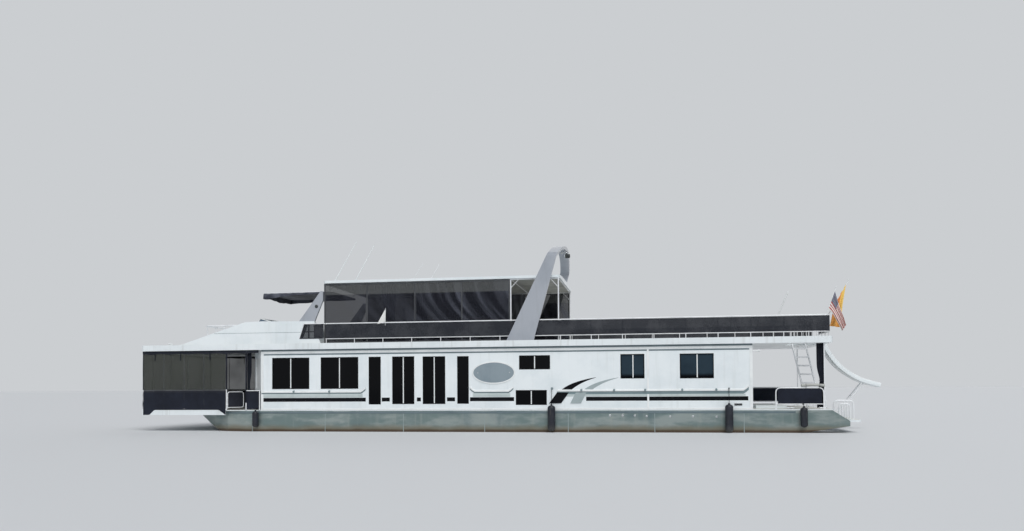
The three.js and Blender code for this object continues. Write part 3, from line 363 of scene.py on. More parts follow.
def painted(name, colour, shade, grime, rough=0.3, dirt=0.2, scale=0.8, coat=0.3, low=None, gloss=0.5):
    """Gelcoat or paint: patches towards shade, runs and a low band towards grime."""
    made, wires, sockets = material(name, Coat_Weight=coat, Coat_Roughness=0.12, Specular_IOR_Level=gloss)
    worn = wires.effect(WEATHERING, {"Scale": scale})
    patched = wires.mix(wires.fade(worn["Patches"], 0.4, 0.7), colour, shade)
    mask = wires.math("MULTIPLY", worn["Runs"], dirt)
    if low:
        band = wires.effect(HEIGHT_BAND, {"Low": low[0], "High": low[1], "Waver": 0.06})
        mask = wires.math("MAXIMUM", mask, wires.math("MULTIPLY", band["Mask"], 0.45))
    wires.set(sockets["Base Color"], wires.mix(mask, patched, grime))
    wires.set(sockets["Roughness"], wires.line(worn["Patches"], 0.25, rough - 0.1))
    skin = wires.noise(wires.place(), 45.0, 2.0)
    wires.set(sockets["Normal"], wires.bump(skin, 0.04, 0.002))
    return made


def deck_gelcoat():
    made, wires, sockets = material("deck_gelcoat", Coat_Weight=0.15, Coat_Roughness=0.2)
    worn = wires.effect(WEATHERING, {"Scale": 0.9})
    grip = wires.effect(GRIP, {"Size": 70.0})
    smooth = wires.mix(wires.fade(worn["Patches"], 0.4, 0.75), rgb(232, 238, 240), rgb(220, 227, 229))
    tread = wires.mix(wires.fade(worn["Patches"], 0.35, 0.7), rgb(211, 211, 205), rgb(192, 192, 186))
    base = wires.mix(grip["Tread"], smooth, tread)
    dirt = wires.math("MULTIPLY", worn["Runs"], 0.18)
    wires.set(sockets["Base Color"], wires.mix(dirt, base, rgb(150, 148, 138)))
    wires.set(sockets["Roughness"], wires.line(grip["Tread"], 0.4, 0.3))
    wires.set(sockets["Normal"], wires.bump(grip["Height"], 0.5, 0.002))
    return made


def hull_metal():
    """Bare marine aluminium: painted reflections of the water mottle the side, with darker patches and pale
    runs, and it is stained where it meets the water.
    """
    made, wires, sockets = material("hull_metal")
    worn = wires.effect(WEATHERING, {"Scale": 0.55})
    grain = wires.effect(BRUSHING, {"Scale": 24.0})["Grain"]
    at = wires.place()
    # Painted reflection: long streaks of lighter and darker metal stand for the water's mottled reflections
    # on the side.
    painted_reflections = wires.noise(wires.stretch(at, (0.5, 0.5, 1.6)), 1.4, 6.0, 0.6)
    base = wires.mix(wires.fade(painted_reflections, 0.40, 0.62), rgb(116, 133, 132), rgb(150, 160, 158))
    base = wires.mix(wires.fade(worn["Patches"], 0.5, 0.78), base, rgb(98, 118, 122))
    base = wires.mix(wires.math("MULTIPLY", worn["Runs"], 0.4), base, rgb(160, 166, 160))
    stain = wires.effect(HEIGHT_BAND, {"Low": 0.1, "High": 0.3, "Waver": 0.2})["Mask"]
    base = wires.mix(wires.math("MULTIPLY", stain, 0.8), base, rgb(112, 104, 84))
    line = wires.effect(HEIGHT_BAND, {"Low": 0.05, "High": 0.125, "Waver": 0.08})["Mask"]
    wires.set(sockets["Base Color"], wires.mix(wires.math("MULTIPLY", line, 0.9), base, rgb(66, 48, 30)))
    wires.set(sockets["Metallic"], wires.line(stain, -0.35, 0.45))
    wires.set(sockets["Roughness"], wires.line(grain, 0.25, 0.32))
    dents = wires.noise(at, 1.1, 2.0)
    wires.set(sockets["Normal"], wires.bump(dents, 0.25, 0.02, wires.bump(grain, 0.08, 0.002)))
    return made


def bright_metal(name, colour, dull, rough=0.3, metallic=0.8, grain_scale=60.0):
    """Drawn tube, cast bronze or polished fittings."""
    made, wires, sockets = material(name, Metallic=metallic)
    worn = wires.effect(WEATHERING, {"Scale": 2.5})
    grain = wires.effect(BRUSHING, {"Scale": grain_scale})["Grain"]
    wires.set(sockets["Base Color"], wires.mix(wires.fade(worn["Patches"], 0.45, 0.75), colour, dull))
    wires.set(sockets["Roughness"], wires.line(grain, 0.3, rough - 0.12))
    wires.set(sockets["Normal"], wires.bump(grain, 0.06, 0.001))
    return made


def cloth(name, colour, faded, threads=320.0, rough=0.85, sheen=0.15, depth=0.35, cover=1.0):
    """Woven cloth; cover under 1 lets light through between the threads. The faded colour shows in patches
    and threads; on the awning it is a painted sheen.
    """
    made, wires, sockets = material(name, Sheen_Weight=sheen, Sheen_Roughness=0.5, Specular_IOR_Level=0.25)
    worn = wires.effect(WEATHERING, {"Scale": 1.6})
    weave = wires.effect(WEAVE, {"Threads": threads})
    base = wires.mix(wires.fade(worn["Patches"], 0.38, 0.72), colour, faded)
    base = wires.mix(wires.math("MULTIPLY", weave["Thread"], 0.25), base, faded)
    wires.set(sockets["Base Color"], base)
    wires.set(sockets["Roughness"], wires.line(weave["Height"], 0.12, rough - 0.06))
    wires.set(sockets["Normal"], wires.bump(weave["Height"], depth, 0.001))
    if cover < 1:
        wires.set(sockets["Alpha"], wires.line(weave["Thread"], 0.14, cover - 0.07))
    return made


def draped_mesh(name, dark, light, upper, band, cover):
    """Screen mesh hanging in long leaning folds, coloured lighter along the folds as painted light and shade,
    with a paler band along its top painted as the lit lining seen through it.
    """
    made, wires, sockets = material(name, Sheen_Weight=0.05, Sheen_Roughness=0.5, Specular_IOR_Level=0.2)
    weave = wires.effect(WEAVE, {"Threads": 260.0})
    x, _, z = wires.axes(wires.place())
    drop = wires.math("SUBTRACT", band[1], z)
    swung = wires.math("ADD", x, wires.math("MULTIPLY", wires.math("MULTIPLY", drop, drop), 0.42))
    bent = wires.put("CombineXYZ", {"X": swung, "Y": wires.math("MULTIPLY", z, 0.1)})
    folds = wires.noise(bent, 3.0, 1.5, 0.5)
    loose = wires.math("SUBTRACT", 1.0, wires.fade(x, 1.9, 2.9))
    ridges = wires.math("MULTIPLY", wires.fade(folds, 0.4, 0.7), wires.math("MAXIMUM", loose, 0.25))
    # Painted light and shade: the mesh is coloured lighter along its folds, most of all aft.
    base = wires.mix(ridges, dark, light)
    # Painted light: the pale band over the top stands for the lit lining seen through the mesh.
    top = wires.effect(HEIGHT_BAND, {"Low": band[0], "High": band[0] + 0.03, "Waver": 0.02})["Mask"]
    base = wires.mix(wires.math("MULTIPLY", wires.math("SUBTRACT", 1.0, top), 0.75), base, upper)
    wires.set(sockets["Base Color"], base)
    sockets["Roughness"].default_value = 0.8
    wires.set(sockets["Alpha"], wires.line(ridges, 0.12, cover))
    wires.set(sockets["Normal"], wires.bump(folds, 0.6, 0.05, wires.bump(weave["Height"], 0.3, 0.001)))
    return made


def tinted_glass(name, colour, shade, rough=0.05, through=0.0, sill=None):
    """Dark glass; with a sill, the pane is darker under the hem of a curtain behind it."""
    made, wires, sockets = material(name, Transmission_Weight=through, IOR=1.45, Metallic=0.0,
                                    Specular_IOR_Level=0.12)
    worn = wires.effect(WEATHERING, {"Scale": 0.7})
    base = wires.mix(wires.fade(worn["Patches"], 0.4, 0.8), colour, shade)
    if sill:
        hem = wires.effect(HEIGHT_BAND, {"Low": sill[0], "High": sill[1], "Waver": 0.05})["Mask"]
        base = wires.mix(hem, base, rgb(6, 8, 12))
    wires.set(sockets["Base Color"], base)
    wires.set(sockets["Roughness"], wires.line(worn["Runs"], 0.06, rough))
    wires.set(sockets["Normal"], wires.bump(wires.noise(wires.place(), 0.9, 1.0), 0.05, 0.01))
    return made


def clear_sheet(name, colour, cover, rough=0.25):
    """Soft clear vinyl or fine insect mesh that still shows what is behind it."""
    made, wires, sockets = material(name, Sheen_Weight=0.1)
    worn = wires.effect(WEATHERING, {"Scale": 0.9})
    weave = wires.effect(WEAVE, {"Threads": 500.0})
    wires.set(sockets["Base Color"], wires.mix(worn["Patches"], colour, rgb(62, 66, 58)))
    wires.set(sockets["Alpha"], wires.line(wires.fade(worn["Patches"], 0.35, 0.75), 0.16, cover))
    sockets["Roughness"].default_value = rough
    wires.set(sockets["Normal"], wires.bump(weave["Height"], 0.15, 0.0005))
    return made


GELCOAT = painted("white_gelcoat", rgb(234, 240, 242), rgb(222, 230, 233), rgb(168, 170, 160), dirt=0.1)
TRIM_WHITE = painted("white_trim", rgb(238, 241, 241), rgb(226, 230, 230), rgb(165, 165, 155), dirt=0.12,
                     scale=2.0)
# Painted shade: the grey of the hollow under the ridge's lip stands for its shade and for the water's
# reflection in it.
RIDGE_PAINTED_SHADE = painted("ridge_painted_shade", rgb(206, 216, 215), rgb(192, 204, 204), rgb(140, 146, 142), dirt=0.15)
STRIPE_BLACK = painted("stripe_black", rgb(9, 10, 15), rgb(14, 15, 21), rgb(48, 50, 54), rough=0.45,
                       dirt=0.1, coat=0.0, gloss=0.12)
FRAME_BLACK = painted("window_frame_black", rgb(9, 10, 13), rgb(14, 15, 19), rgb(44, 46, 48), rough=0.5,
                      dirt=0.1, coat=0.0, gloss=0.12)
SWOOSH_GREY = painted("swoosh_grey", rgb(162, 174, 176), rgb(150, 163, 165), rgb(120, 126, 124), dirt=0.12)
OVAL_BLUE = painted("oval_plate", rgb(136, 150, 158), rgb(124, 139, 148), rgb(100, 108, 112), rough=0.35,
                    dirt=0.1)
# Painted shadow on the ridge: the grey strip under its lip stands for the lip's shadow; the fender hooks use
# the same grey as their own colour.
SHADOW_LINE_AND_HOOK_GREY = painted("shadow_line_and_hook_grey", rgb(124, 142, 146), rgb(112, 130, 135), rgb(96, 104, 104), dirt=0.15,
                    coat=0.0)
SILVER_PAINT = painted("silver_paint", rgb(165, 170, 178), rgb(152, 158, 167), rgb(126, 128, 128),
                       rough=0.34, dirt=0.2, coat=0.5)
# Painted shadow: the grey of strips that stand for shade under the fascia, under the deck's edge and at the
# fairing's lap.
SHADOW_GREY = painted("shadow_grey", rgb(104, 120, 126), rgb(92, 108, 114), rgb(84, 92, 94), dirt=0.1,
                      coat=0.0)
DARK_RUBBER = painted("dark_rubber", rgb(52, 58, 60), rgb(40, 45, 47), rgb(92, 90, 82), rough=0.6,
                      dirt=0.4, coat=0.0)
PIPING = painted("seat_piping", rgb(128, 132, 134), rgb(112, 116, 118), rgb(150, 148, 140), rough=0.5,
                 dirt=0.3, coat=0.0)
ENGINE_PAINT = painted("engine_paint", rgb(48, 52, 58), rgb(40, 43, 48), rgb(72, 66, 54), rough=0.45,
                       dirt=0.4, coat=0.2)
FENDER_SKIN = painted("fender_skin", rgb(20, 25, 36), rgb(32, 37, 48), rgb(86, 84, 76), rough=0.5,
                      dirt=0.4, scale=3.0, coat=0.05, low=(0.05, 0.3))
DECK = deck_gelcoat()
WELD = bright_metal("weld_metal", rgb(150, 162, 162), rgb(128, 141, 141), rough=0.5, metallic=0.2)
HULL_METAL = hull_metal()
RAIL_TUBE = bright_metal("rail_tube", rgb(240, 242, 244), rgb(222, 225, 228), rough=0.36, metallic=0.12)
BRONZE = bright_metal("propeller_bronze", rgb(150, 118, 66), rgb(104, 84, 52), rough=0.4, metallic=0.95,
                      grain_scale=20.0)
STEEL = bright_metal("polished_steel", rgb(205, 208, 210), rgb(170, 174, 178), rough=0.25, metallic=0.95)
RAIL_MESH = cloth("rail_mesh", rgb(42, 45, 52), rgb(66, 68, 73), threads=260.0, sheen=0.05, cover=0.86)
BOW_MESH = cloth("bow_mesh", rgb(52, 55, 62), rgb(72, 74, 80), threads=260.0, sheen=0.05, cover=0.42)
# The side screens: the second colour is painted light on the folds, and the third is the painted light of the
# lining seen through the top.
SIDE_MESH = draped_mesh("side_screen_mesh", rgb(26, 28, 37), rgb(80, 83, 93), rgb(98, 100, 100),
                        (4.8, 5.2), 0.66)
SWAG_CLOTH = cloth("swag_cloth", rgb(112, 115, 122), rgb(84, 87, 94), threads=300.0, sheen=0.2)
NAVY_CANVAS = cloth("navy_canvas", rgb(21, 25, 36), rgb(32, 37, 50), threads=420.0, sheen=0.06)
HEM_GREY = cloth("hem_grey", rgb(66, 68, 72), rgb(88, 90, 92), threads=420.0)
BURGEE_CLOTH = cloth("burgee_cloth", rgb(240, 240, 238), rgb(222, 222, 218), threads=500.0, sheen=0.2)
VALANCE_CANVAS = cloth("valance_canvas", rgb(30, 33, 42), rgb(44, 47, 56), threads=420.0, sheen=0.05)
# Painted sheen: the paler patch colour stands for the silvery highlights on the awning's creased underside.
AWNING_CLOTH = cloth("awning_cloth", rgb(40, 44, 56), rgb(104, 107, 118), threads=300.0, sheen=0.15)
LINER_CLOTH = cloth("hardtop_liner", rgb(196, 197, 192), rgb(168, 170, 166), threads=420.0, sheen=0.1)
SEAT_VINYL = cloth("seat_vinyl", rgb(214, 214, 208), rgb(194, 194, 186), threads=700.0, rough=0.5,
                   sheen=0.05, depth=0.1)
CABIN_GLASS = tinted_glass("cabin_glass", rgb(2, 3, 6), rgb(7, 8, 12))
CURTAINED_GLASS = tinted_glass("curtained_glass", rgb(46, 60, 70), rgb(34, 46, 56), sill=(1.84, 1.98))
CLEAR_GLASS = tinted_glass("windshield_glass", rgb(150, 168, 186), rgb(124, 142, 160), through=0.75)
PORCH_SCREEN = clear_sheet("porch_screen", rgb(36, 40, 35), 0.58)


def flag_cloth(name, paint):
    """Light bunting; paint(wires, along, up) gives the colour from the flag's own measure."""
    made, wires, sockets = material(name, Sheen_Weight=0.2)
    weave = wires.effect(WEAVE, {"Threads": 500.0})
    spot = wires.put("UVMap", {})
    along, up, _ = wires.axes(spot)
    faded = wires.mix(wires.math("MULTIPLY", weave["Thread"], 0.3), paint(wires, spot, along, up),
                      rgb(206, 198, 186))
    wires.set(sockets["Base Color"], faded)
    sockets["Roughness"].default_value = 0.8
    wires.set(sockets["Normal"], wires.bump(weave["Height"], 0.3, 0.001))
    return made


def striped(wires, spot, along, up):
    """Red and white stripes, with a dotted blue corner at the hoist."""
    stripe = wires.math("GREATER_THAN", wires.math("FRACT", wires.math("MULTIPLY", up, 6.5)), 0.5)
    field = wires.mix(stripe, rgb(228, 226, 220), rgb(178, 40, 48))
    corner = wires.math("MULTIPLY", wires.math("LESS_THAN", along, 0.4),
                        wires.math("GREATER_THAN", up, 0.46))
    dots = wires.put("TexVoronoi", {"Vector": spot, "Scale": 18.0, "Randomness": 0.0})
    blue = wires.mix(wires.math("LESS_THAN", dots, 0.2), rgb(38, 46, 88), rgb(214, 216, 220))
    return wires.mix(corner, field, blue)


def two_tone(wires, spot, along, up):
    """Yellow over orange, meeting along the flag."""
    orange = wires.mix(wires.fade(up, 0.35, 0.6), rgb(238, 140, 44), rgb(250, 206, 84))
    return wires.mix(wires.fade(along, 0.55, 0.95), orange, rgb(246, 178, 60))


ENSIGN_CLOTH = flag_cloth("ensign_cloth", striped)
PENNANT_CLOTH = flag_cloth("pennant_cloth", two_tone)


# Finishes on the CAD nodes that stay

def both(name):
    return [f"{side}_{name}" for side in SIDES]


CAD_FINISH = {
    HULL_METAL: ["hull"],
    DECK: ["main_deck", "swim_platform", "upper_deck", *both("engine_hatch")],
    GELCOAT: [*both("wall_forward"), *both("wall_aft"), "front_bulkhead", "aft_bulkhead", "bridge_fairing",
              "helm_console", "hardtop", "slide"],
    ENGINE_PAINT: [*both("engine"), *both("drive_leg")],
    BRONZE: both("propeller"),
    SILVER_PAINT: [*both("bridge_fin"), "radar_arch"],
    RAIL_TUBE: [*both("upper_rail"), *both("stern_rail"), *both("gate"), *both("aft_rail"), "slope_rail",
                "hardtop_frame", "porch_frame", "boarding_ladder"],
    RAIL_MESH: both("rail_mesh"),
    SIDE_MESH: both("side_screen"),
    NAVY_CANVAS: ["porch_skirt", "forward_awning", "aft_curtain"],
    PORCH_SCREEN: ["porch_screen"],
    SEAT_VINYL: ["helm_seat"],
    FENDER_SKIN: ["fender_bow", "fender_middle", "fender_quarter", "fender_stern"],
    ENSIGN_CLOTH: ["ensign_flag"],
    PENNANT_CLOTH: ["pennant_flag"],
    CLEAR_GLASS: ["windshield"],
    TRIM_WHITE: ["front_glazing", "front_sliding_door", "aft_door"],
    FRAME_BLACK: both("windows"),
}

for finish, names in CAD_FINISH.items():
    for name in names:
        cad[name].data.materials.clear()
        cad[name].data.materials.append(finish)


def glaze(name, is_pane):
    """Gives the panes of a framed CAD node their glass."""
    mesh = cad[name].data
    mesh.materials.append(CABIN_GLASS)
    for face in mesh.polygons:
        if is_pane(face):
            face.material_index = 1


def between(value, low, high):
    return low - 5e-4 < value < high + 5e-4


# The middle of each window's centre bar, and the foot and head of its opening
MULLIONS = [(6.718, 1.5, 2.61), (4.91, 1.5, 2.61), (2.596, 0.96, 2.61), (1.493, 0.96, 2.6),
            (-1.994, 2.12, 2.595), (-1.875, 0.92, 1.42), (-5.285, 1.79, 2.6), (-7.37, 1.78, 2.595)]
BAR_HALF, FRAME_EDGE = 0.0175, 0.03
SIDE_PANES = (2.374, 2.382)    # the panes' two faces, measured out from the middle of the boat
CURTAINS_FROM = -4.5    # the windows aft of this have light curtains behind them
END_PANES = {"front_sliding_door": (8.241, 8.249), "front_glazing": (8.316, 8.324),
             "aft_door": (-9.104, -9.096)}


def on_bar(at):
    """Whether a point of the window band is on a white centre bar."""
    return any(abs(at.x - x) < BAR_HALF and low + FRAME_EDGE < at.z < high - FRAME_EDGE
               for x, low, high in MULLIONS)


def window_band(name):
    """Glass, white centre bars and curtained quarter windows in one side's band of windows."""
    glaze(name, lambda face: between(abs(face.center.y), *SIDE_PANES) and abs(face.normal.y) > 0.9)
    mesh = cad[name].data
    mesh.materials.append(TRIM_WHITE)
    mesh.materials.append(CURTAINED_GLASS)
    for face in mesh.polygons:
        if on_bar(face.center):
            face.material_index = 2
        elif face.material_index == 1 and face.center.x < CURTAINS_FROM:
            face.material_index = 3


for name in both("windows"):
    window_band(name)
for name, faces in END_PANES.items():
    glaze(name, lambda face: between(face.center.x, *faces) and abs(face.normal.x) > 0.9)


# Cabin sides

def on_wall(side):
    """Turns X, height and how far a point stands off the cabin side into a place."""
    return lambda x, z, off: (x, side * (WALL + off), z)


def wall_run(shape, side, profile, x):
    """A moulding along the cabin side; the profile is (off the wall, height)."""
    shape.prism(profile, lambda off, z, depth: (depth, side * (WALL + off), z), x)


RIDGES = [
    # aft and bow ends, whether each turns up, and the height of the painted shadow line under the lip
    {"x": (3.96, 7.81), "up": (True, False), "line": 0.035},
    {"x": (-1.26, 0.24), "up": (True, True), "line": 0.035},
    {"x": (-9.0, -2.75), "up": (True, False), "line": 0.09},
]
RIDGE = {"top": 1.405, "lip": 0.045, "foot": 1.2, "off": 0.034, "turn": 0.17}


def ridge_strip(shape, side, span, up, profile):
    """A strip along the wall whose ends turn up; the profile is (off the wall, height from the lip)."""
    turn = RIDGE["turn"]
    aft, bow = span
    path = [(aft + (turn if up[0] else 0), 0.0), (bow - (turn if up[1] else 0), 0.0)]
    if up[0]:
        path[:0] = [(aft, 0.75 * turn), (aft + 0.5 * turn, 0.3 * turn)]
    if up[1]:
        path += [(bow - 0.5 * turn, 0.3 * turn), (bow, 0.75 * turn)]
    place = on_wall(side)
    shape.solid([
        shape.ring([place(x, RIDGE["top"] + lift + h, off) for off, h in profile])
        for x, lift in path
    ])


STRIPE = {"z": (1.05, 1.185), "off": 0.003}
STRIPES = [(3.95, 7.82), (3.08, 3.37), (1.97, 2.11), (0.765, 1.046), (-1.286, 0.239), (-5.743, -3.726),
           (-8.982, -5.808)]
HOOKS = [(-2.58, 1.45), (-3.57, 1.39), (6.583, 1.385), (5.267, 1.385), (-4.658, 1.385), (-5.677, 1.385),
         (-6.879, 1.385), (-7.969, 1.385)]
SWOOSHES = {
    # a foot block under the lip, and a blade above it between two curves of aft end, bend and tip
    "black": {"foot": [(-2.48, 0.972), (-2.886, 0.972), (-3.149, 1.335), (-2.75, 1.335)],
              "outer": [(-2.87, 1.40), (-3.20, 1.70), (-4.05, 1.835)],
              "inner": [(-3.21, 1.40), (-3.50, 1.66), (-4.05, 1.825)]},
    "grey": {"foot": [(-3.196, 0.972), (-3.549, 0.972), (-3.736, 1.335), (-3.385, 1.335)],
             "outer": [(-3.62, 1.40), (-3.98, 1.70), (-4.80, 1.825)],
             "inner": [(-3.90, 1.40), (-4.22, 1.66), (-4.80, 1.815)]},
}


def bend(points, steps=10):
    """A curve from the first point to the last, drawn towards the middle one."""
    (ax, ay), (bx, by), (cx, cy) = points
    curve = []
    for k in range(steps + 1):
        t = k / steps
        curve.append((ax * (1 - t) ** 2 + 2 * bx * t * (1 - t) + cx * t * t,
                      ay * (1 - t) ** 2 + 2 * by * t * (1 - t) + cy * t * t))
    return curve


OVAL = {"at": (-0.585, 2.02), "half": (0.728, 0.37)}
VENT = {"x": (-8.79, -8.54), "foot": 0.885, "pitch": 0.014, "slats": 5}


def ridges(label, side):
    """The ridge under the windows: a white lip, a painted shadow line beneath it and a hollow below in
    painted shade.
    """
    lips, lines, shaded_coves = Shape(), Shape(), Shape()
    off, lip = RIDGE["off"], RIDGE["lip"]
    for ridge in RIDGES:
        ridge_strip(lips, side, ridge["x"], ridge["up"],
                    [(0.0, 0.03), (off, 0.012), (off, -0.8 * lip), (0.0, -lip)])
        # Painted shadow: a grey strip under the lip, deeper on the aft ridge.
        low = -lip - ridge["line"]
        ridge_strip(lines, side, ridge["x"], ridge["up"],
                    [(0.0, -lip), (0.6 * off, -lip), (0.012, low), (0.0, low)])
        x = (ridge["x"][0] + RIDGE["turn"] * 0.6,
             ridge["x"][1] - (RIDGE["turn"] * 0.6 if ridge["up"][1] else 0))
        top = RIDGE["top"] + low
        # The hollow below is coloured as painted shade and painted reflection of the water.
        wall_run(shaded_coves, side,
                 [(0, top), (0.012, top), (0.003, RIDGE["foot"]), (0, RIDGE["foot"] - 0.004)], x)
    lips.done(f"{label}_ridge_lips", TRIM_WHITE, slot="gelcoat", smooth=30)
    lines.done(f"{label}_ridge_shadow_lines", SHADOW_LINE_AND_HOOK_GREY, slot="gelcoat", smooth=30)
    shaded_coves.done(f"{label}_ridge_shaded_coves", RIDGE_PAINTED_SHADE, slot="gelcoat")


def stripes_and_swooshes(label, side):
    """Painted stripes low on the cabin side, and two swooshes that sweep up and aft."""
    stripes = Shape()
    (low, high), off = STRIPE["z"], STRIPE["off"]
    section = [(0, low), (off, low + off), (off, high - off), (0, high)]
    for span in STRIPES:
        wall_run(stripes, side, section, span)
    stripes.done(f"{label}_stripes", STRIPE_BLACK, slot="gelcoat")

    for colour, finish in (("black", STRIPE_BLACK), ("grey", SWOOSH_GREY)):
        plates = Shape()
        swoosh = SWOOSHES[colour]
        plates.prism(swoosh["foot"], on_wall(side), (0.0, 0.021))
        outer, inner = bend(swoosh["outer"]), bend(swoosh["inner"])
        for k in range(len(outer) - 1):
            plates.prism([outer[k], outer[k + 1], inner[k + 1], inner[k]], on_wall(side), (0.0, off))
        plates.done(f"{label}_swoosh_{colour}", finish, slot="gelcoat")


def fender_hooks(label, side):
    """Round hooks on the cabin side, with a neck that holds a fender's line."""
    hooks = Shape()
    profile = [(0.042, 0.0), (0.042, 0.01), (0.02, 0.018), (0.02, 0.05), (0.036, 0.058), (0.036, 0.07),
               (0.012, 0.078)]
    for x, z in HOOKS:
        hooks.stud(profile, (x, side * WALL, z + 0.02), side)
    hooks.done(f"{label}_fender_hooks", SHADOW_LINE_AND_HOOK_GREY, slot="rail_tube")


def oval_sign(label, side):
    """A blank oval plate in a raised rim."""
    oval = Shape()
    (cx, cz), (a, b) = OVAL["at"], OVAL["half"]

    def egg(grow):
        return [(cx + (a + grow) * math.cos(t), cz + (b + grow) * math.sin(t)) for t in angles(48)]

    oval.prism(egg(0), on_wall(side), (0.0, 0.01))
    oval.done(f"{label}_oval_plate", OVAL_BLUE, slot="gelcoat")
    rim = Shape()
    rings = [rim.ring([on_wall(side)(x, z, off) for x, z in egg(grow)])
             for grow, off in ((0.02, 0.0), (0.02, 0.014), (0.0, 0.018), (-0.025, 0.016), (-0.03, 0.0))]
    rim.skin(rings)
    rim.done(f"{label}_oval_rim", TRIM_WHITE, slot="gelcoat")


def wall_trim(label, side):
    """Mouldings round the cabin side, two painted shadow lines near its top, and the panel seam's cover
    strip.
    """
    mouldings = Shape()
    span = (CABIN_AFT, CABIN_BOW)
    wall_run(mouldings, side, [(0, 2.755), (0.014, 2.76), (0.018, 2.8), (0.012, 2.835), (0, 2.84)], span)
    wall_run(mouldings, side, [(0, 0.765), (0.01, 0.765), (0.01, 0.80), (0, 0.81)], span)
    for x, wide in ((CABIN_BOW - 0.045, 0.045), (CABIN_AFT + 0.045, 0.045), (SEAM_X, 0.03)):
        wall_run(mouldings, side, [(0, 0.81), (0.012, 0.815), (0.012, 2.745), (0, 2.75)],
                 (x - wide, x + wide))
    mouldings.done(f"{label}_mouldings", TRIM_WHITE, slot="gelcoat")

    # Painted shadow: a grey line under the trim band, and the shade under the fascia's overhang.
    top_shadows = Shape()
    wall_run(top_shadows, side, [(0, 2.7), (0.004, 2.702), (0.004, 2.742), (0, 2.744)],
             (CABIN_AFT + 0.1, CABIN_BOW - 0.1))
    wall_run(top_shadows, side, [(0, 2.842), (0.003, 2.844), (0.003, 2.895), (0, 2.897)], span)
    top_shadows.done(f"{label}_top_shadow_lines", SHADOW_GREY, slot="gelcoat")


def vent_and_lamp(label, side):
    """A slatted vent low on the quarter, and a lamp on an arm at the cabin's aft edge."""
    vent = Shape()
    for k in range(VENT["slats"]):
        z = VENT["foot"] + k * VENT["pitch"]
        wall_run(vent, side, [(0, z), (0.008, z), (0.004, z + 0.01), (0, z + 0.01)], VENT["x"])
    vent.done(f"{label}_vent", STRIPE_BLACK, slot="gelcoat")
    arm = Shape()
    y = side * (WALL - 0.03)
    arm.tube([(CABIN_AFT, y, 2.66), (CABIN_AFT - 0.2, y, 2.66)], 0.02)
    arm.lathe([(0.012, 0.0), (0.03, 0.004), (0.034, 0.06), (0.028, 0.075)], (CABIN_AFT - 0.24, y, 2.66),
              axis="X", segments=16)
    arm.done(f"{label}_deck_lamp", TRIM_WHITE, slot="gelcoat")


for label, side in SIDES.items():
    ridges(label, side)
    stripes_and_swooshes(label, side)
    fender_hooks(label, side)
    oval_sign(label, side)
    wall_trim(label, side)
    vent_and_lamp(label, side)


# Hull

HULL_PLAN = [(8.4, 2.42), (9.15, 2.3), (9.86, 1.95), (10.6, 1.5)]
HULL_SEAMS = [8.15, 5.43, 2.59, -0.27, -3.12, -5.98, -8.84]
SKIN_FITTINGS = [(-4.51, 0.56), (-4.93, 0.56), (-5.33, 0.56), (-5.72, 0.54), (-6.48, 0.53), (-7.21, 0.53),
                 (-7.97, 0.52)]
CLEATS = [8.2, 2.3, -2.9, -8.0, -10.3, -11.3]
HORN = [(-0.13, 0.058), (-0.07, 0.05), (0, 0.048), (0.07, 0.05), (0.13, 0.058)]


def hull_trim(label, side):
    """A rub strip under the deck's edge in painted shadow grey, the shell's welded seams and the skin
    fittings.
    """
    rail = Shape()
    path = [(-10.45, HULL_HALF), *HULL_PLAN]
    profile = [(0.0, 0.632), (0.008, 0.64), (0.01, 0.665), (0.008, 0.69), (0.0, 0.698)]
    rail.solid([rail.ring([(x, side * (y + off), z) for off, z in profile]) for x, y in path])
    # The rub strip's grey is painted shade, standing for the shadow under the deck's edge.
    rail.done(f"{label}_rub_strip", SHADOW_GREY, slot="hull_metal", smooth=30)

    seams = Shape()
    for x in HULL_SEAMS:
        seams.prism([(x - 0.012, 0), (x - 0.006, 0.004), (x + 0.006, 0.004), (x + 0.012, 0)],
                    lambda u, off, z: (u, side * (HULL_HALF + off), z), (-0.27, 0.628))
    seams.done(f"{label}_hull_welds", WELD, slot="hull_metal")

    fittings = Shape()
    profile = [(0.036, 0.0), (0.036, 0.006), (0.026, 0.014), (0.016, 0.014), (0.014, 0.004)]
    for x, z in SKIN_FITTINGS:
        fittings.stud(profile, (x, side * HULL_HALF, z), side)
    fittings.done(f"{label}_skin_fittings", STEEL, slot="rail_tube")


def mooring_cleats(label, side):
    """Two-horned cleats along the deck's edge, each on two feet."""
    cleats = Shape()
    y = side * (HULL_HALF - 0.045)
    for x in CLEATS:
        for foot in (-0.05, 0.05):
            cleats.lathe([(0.02, 0.0), (0.012, 0.012), (0.011, 0.045)], (x + foot, y, DECK_TOP),
                         segments=12)
        cleats.tube([(x + along, y, DECK_TOP + rise) for along, rise in HORN], 0.012)
    cleats.done(f"{label}_cleats", STEEL, slot="rail_tube")


for label, side in SIDES.items():
    hull_trim(label, side)
    mooring_cleats(label, side)


# Cloth: sheets hung along a run in plan, and canopies laid over a rectangle

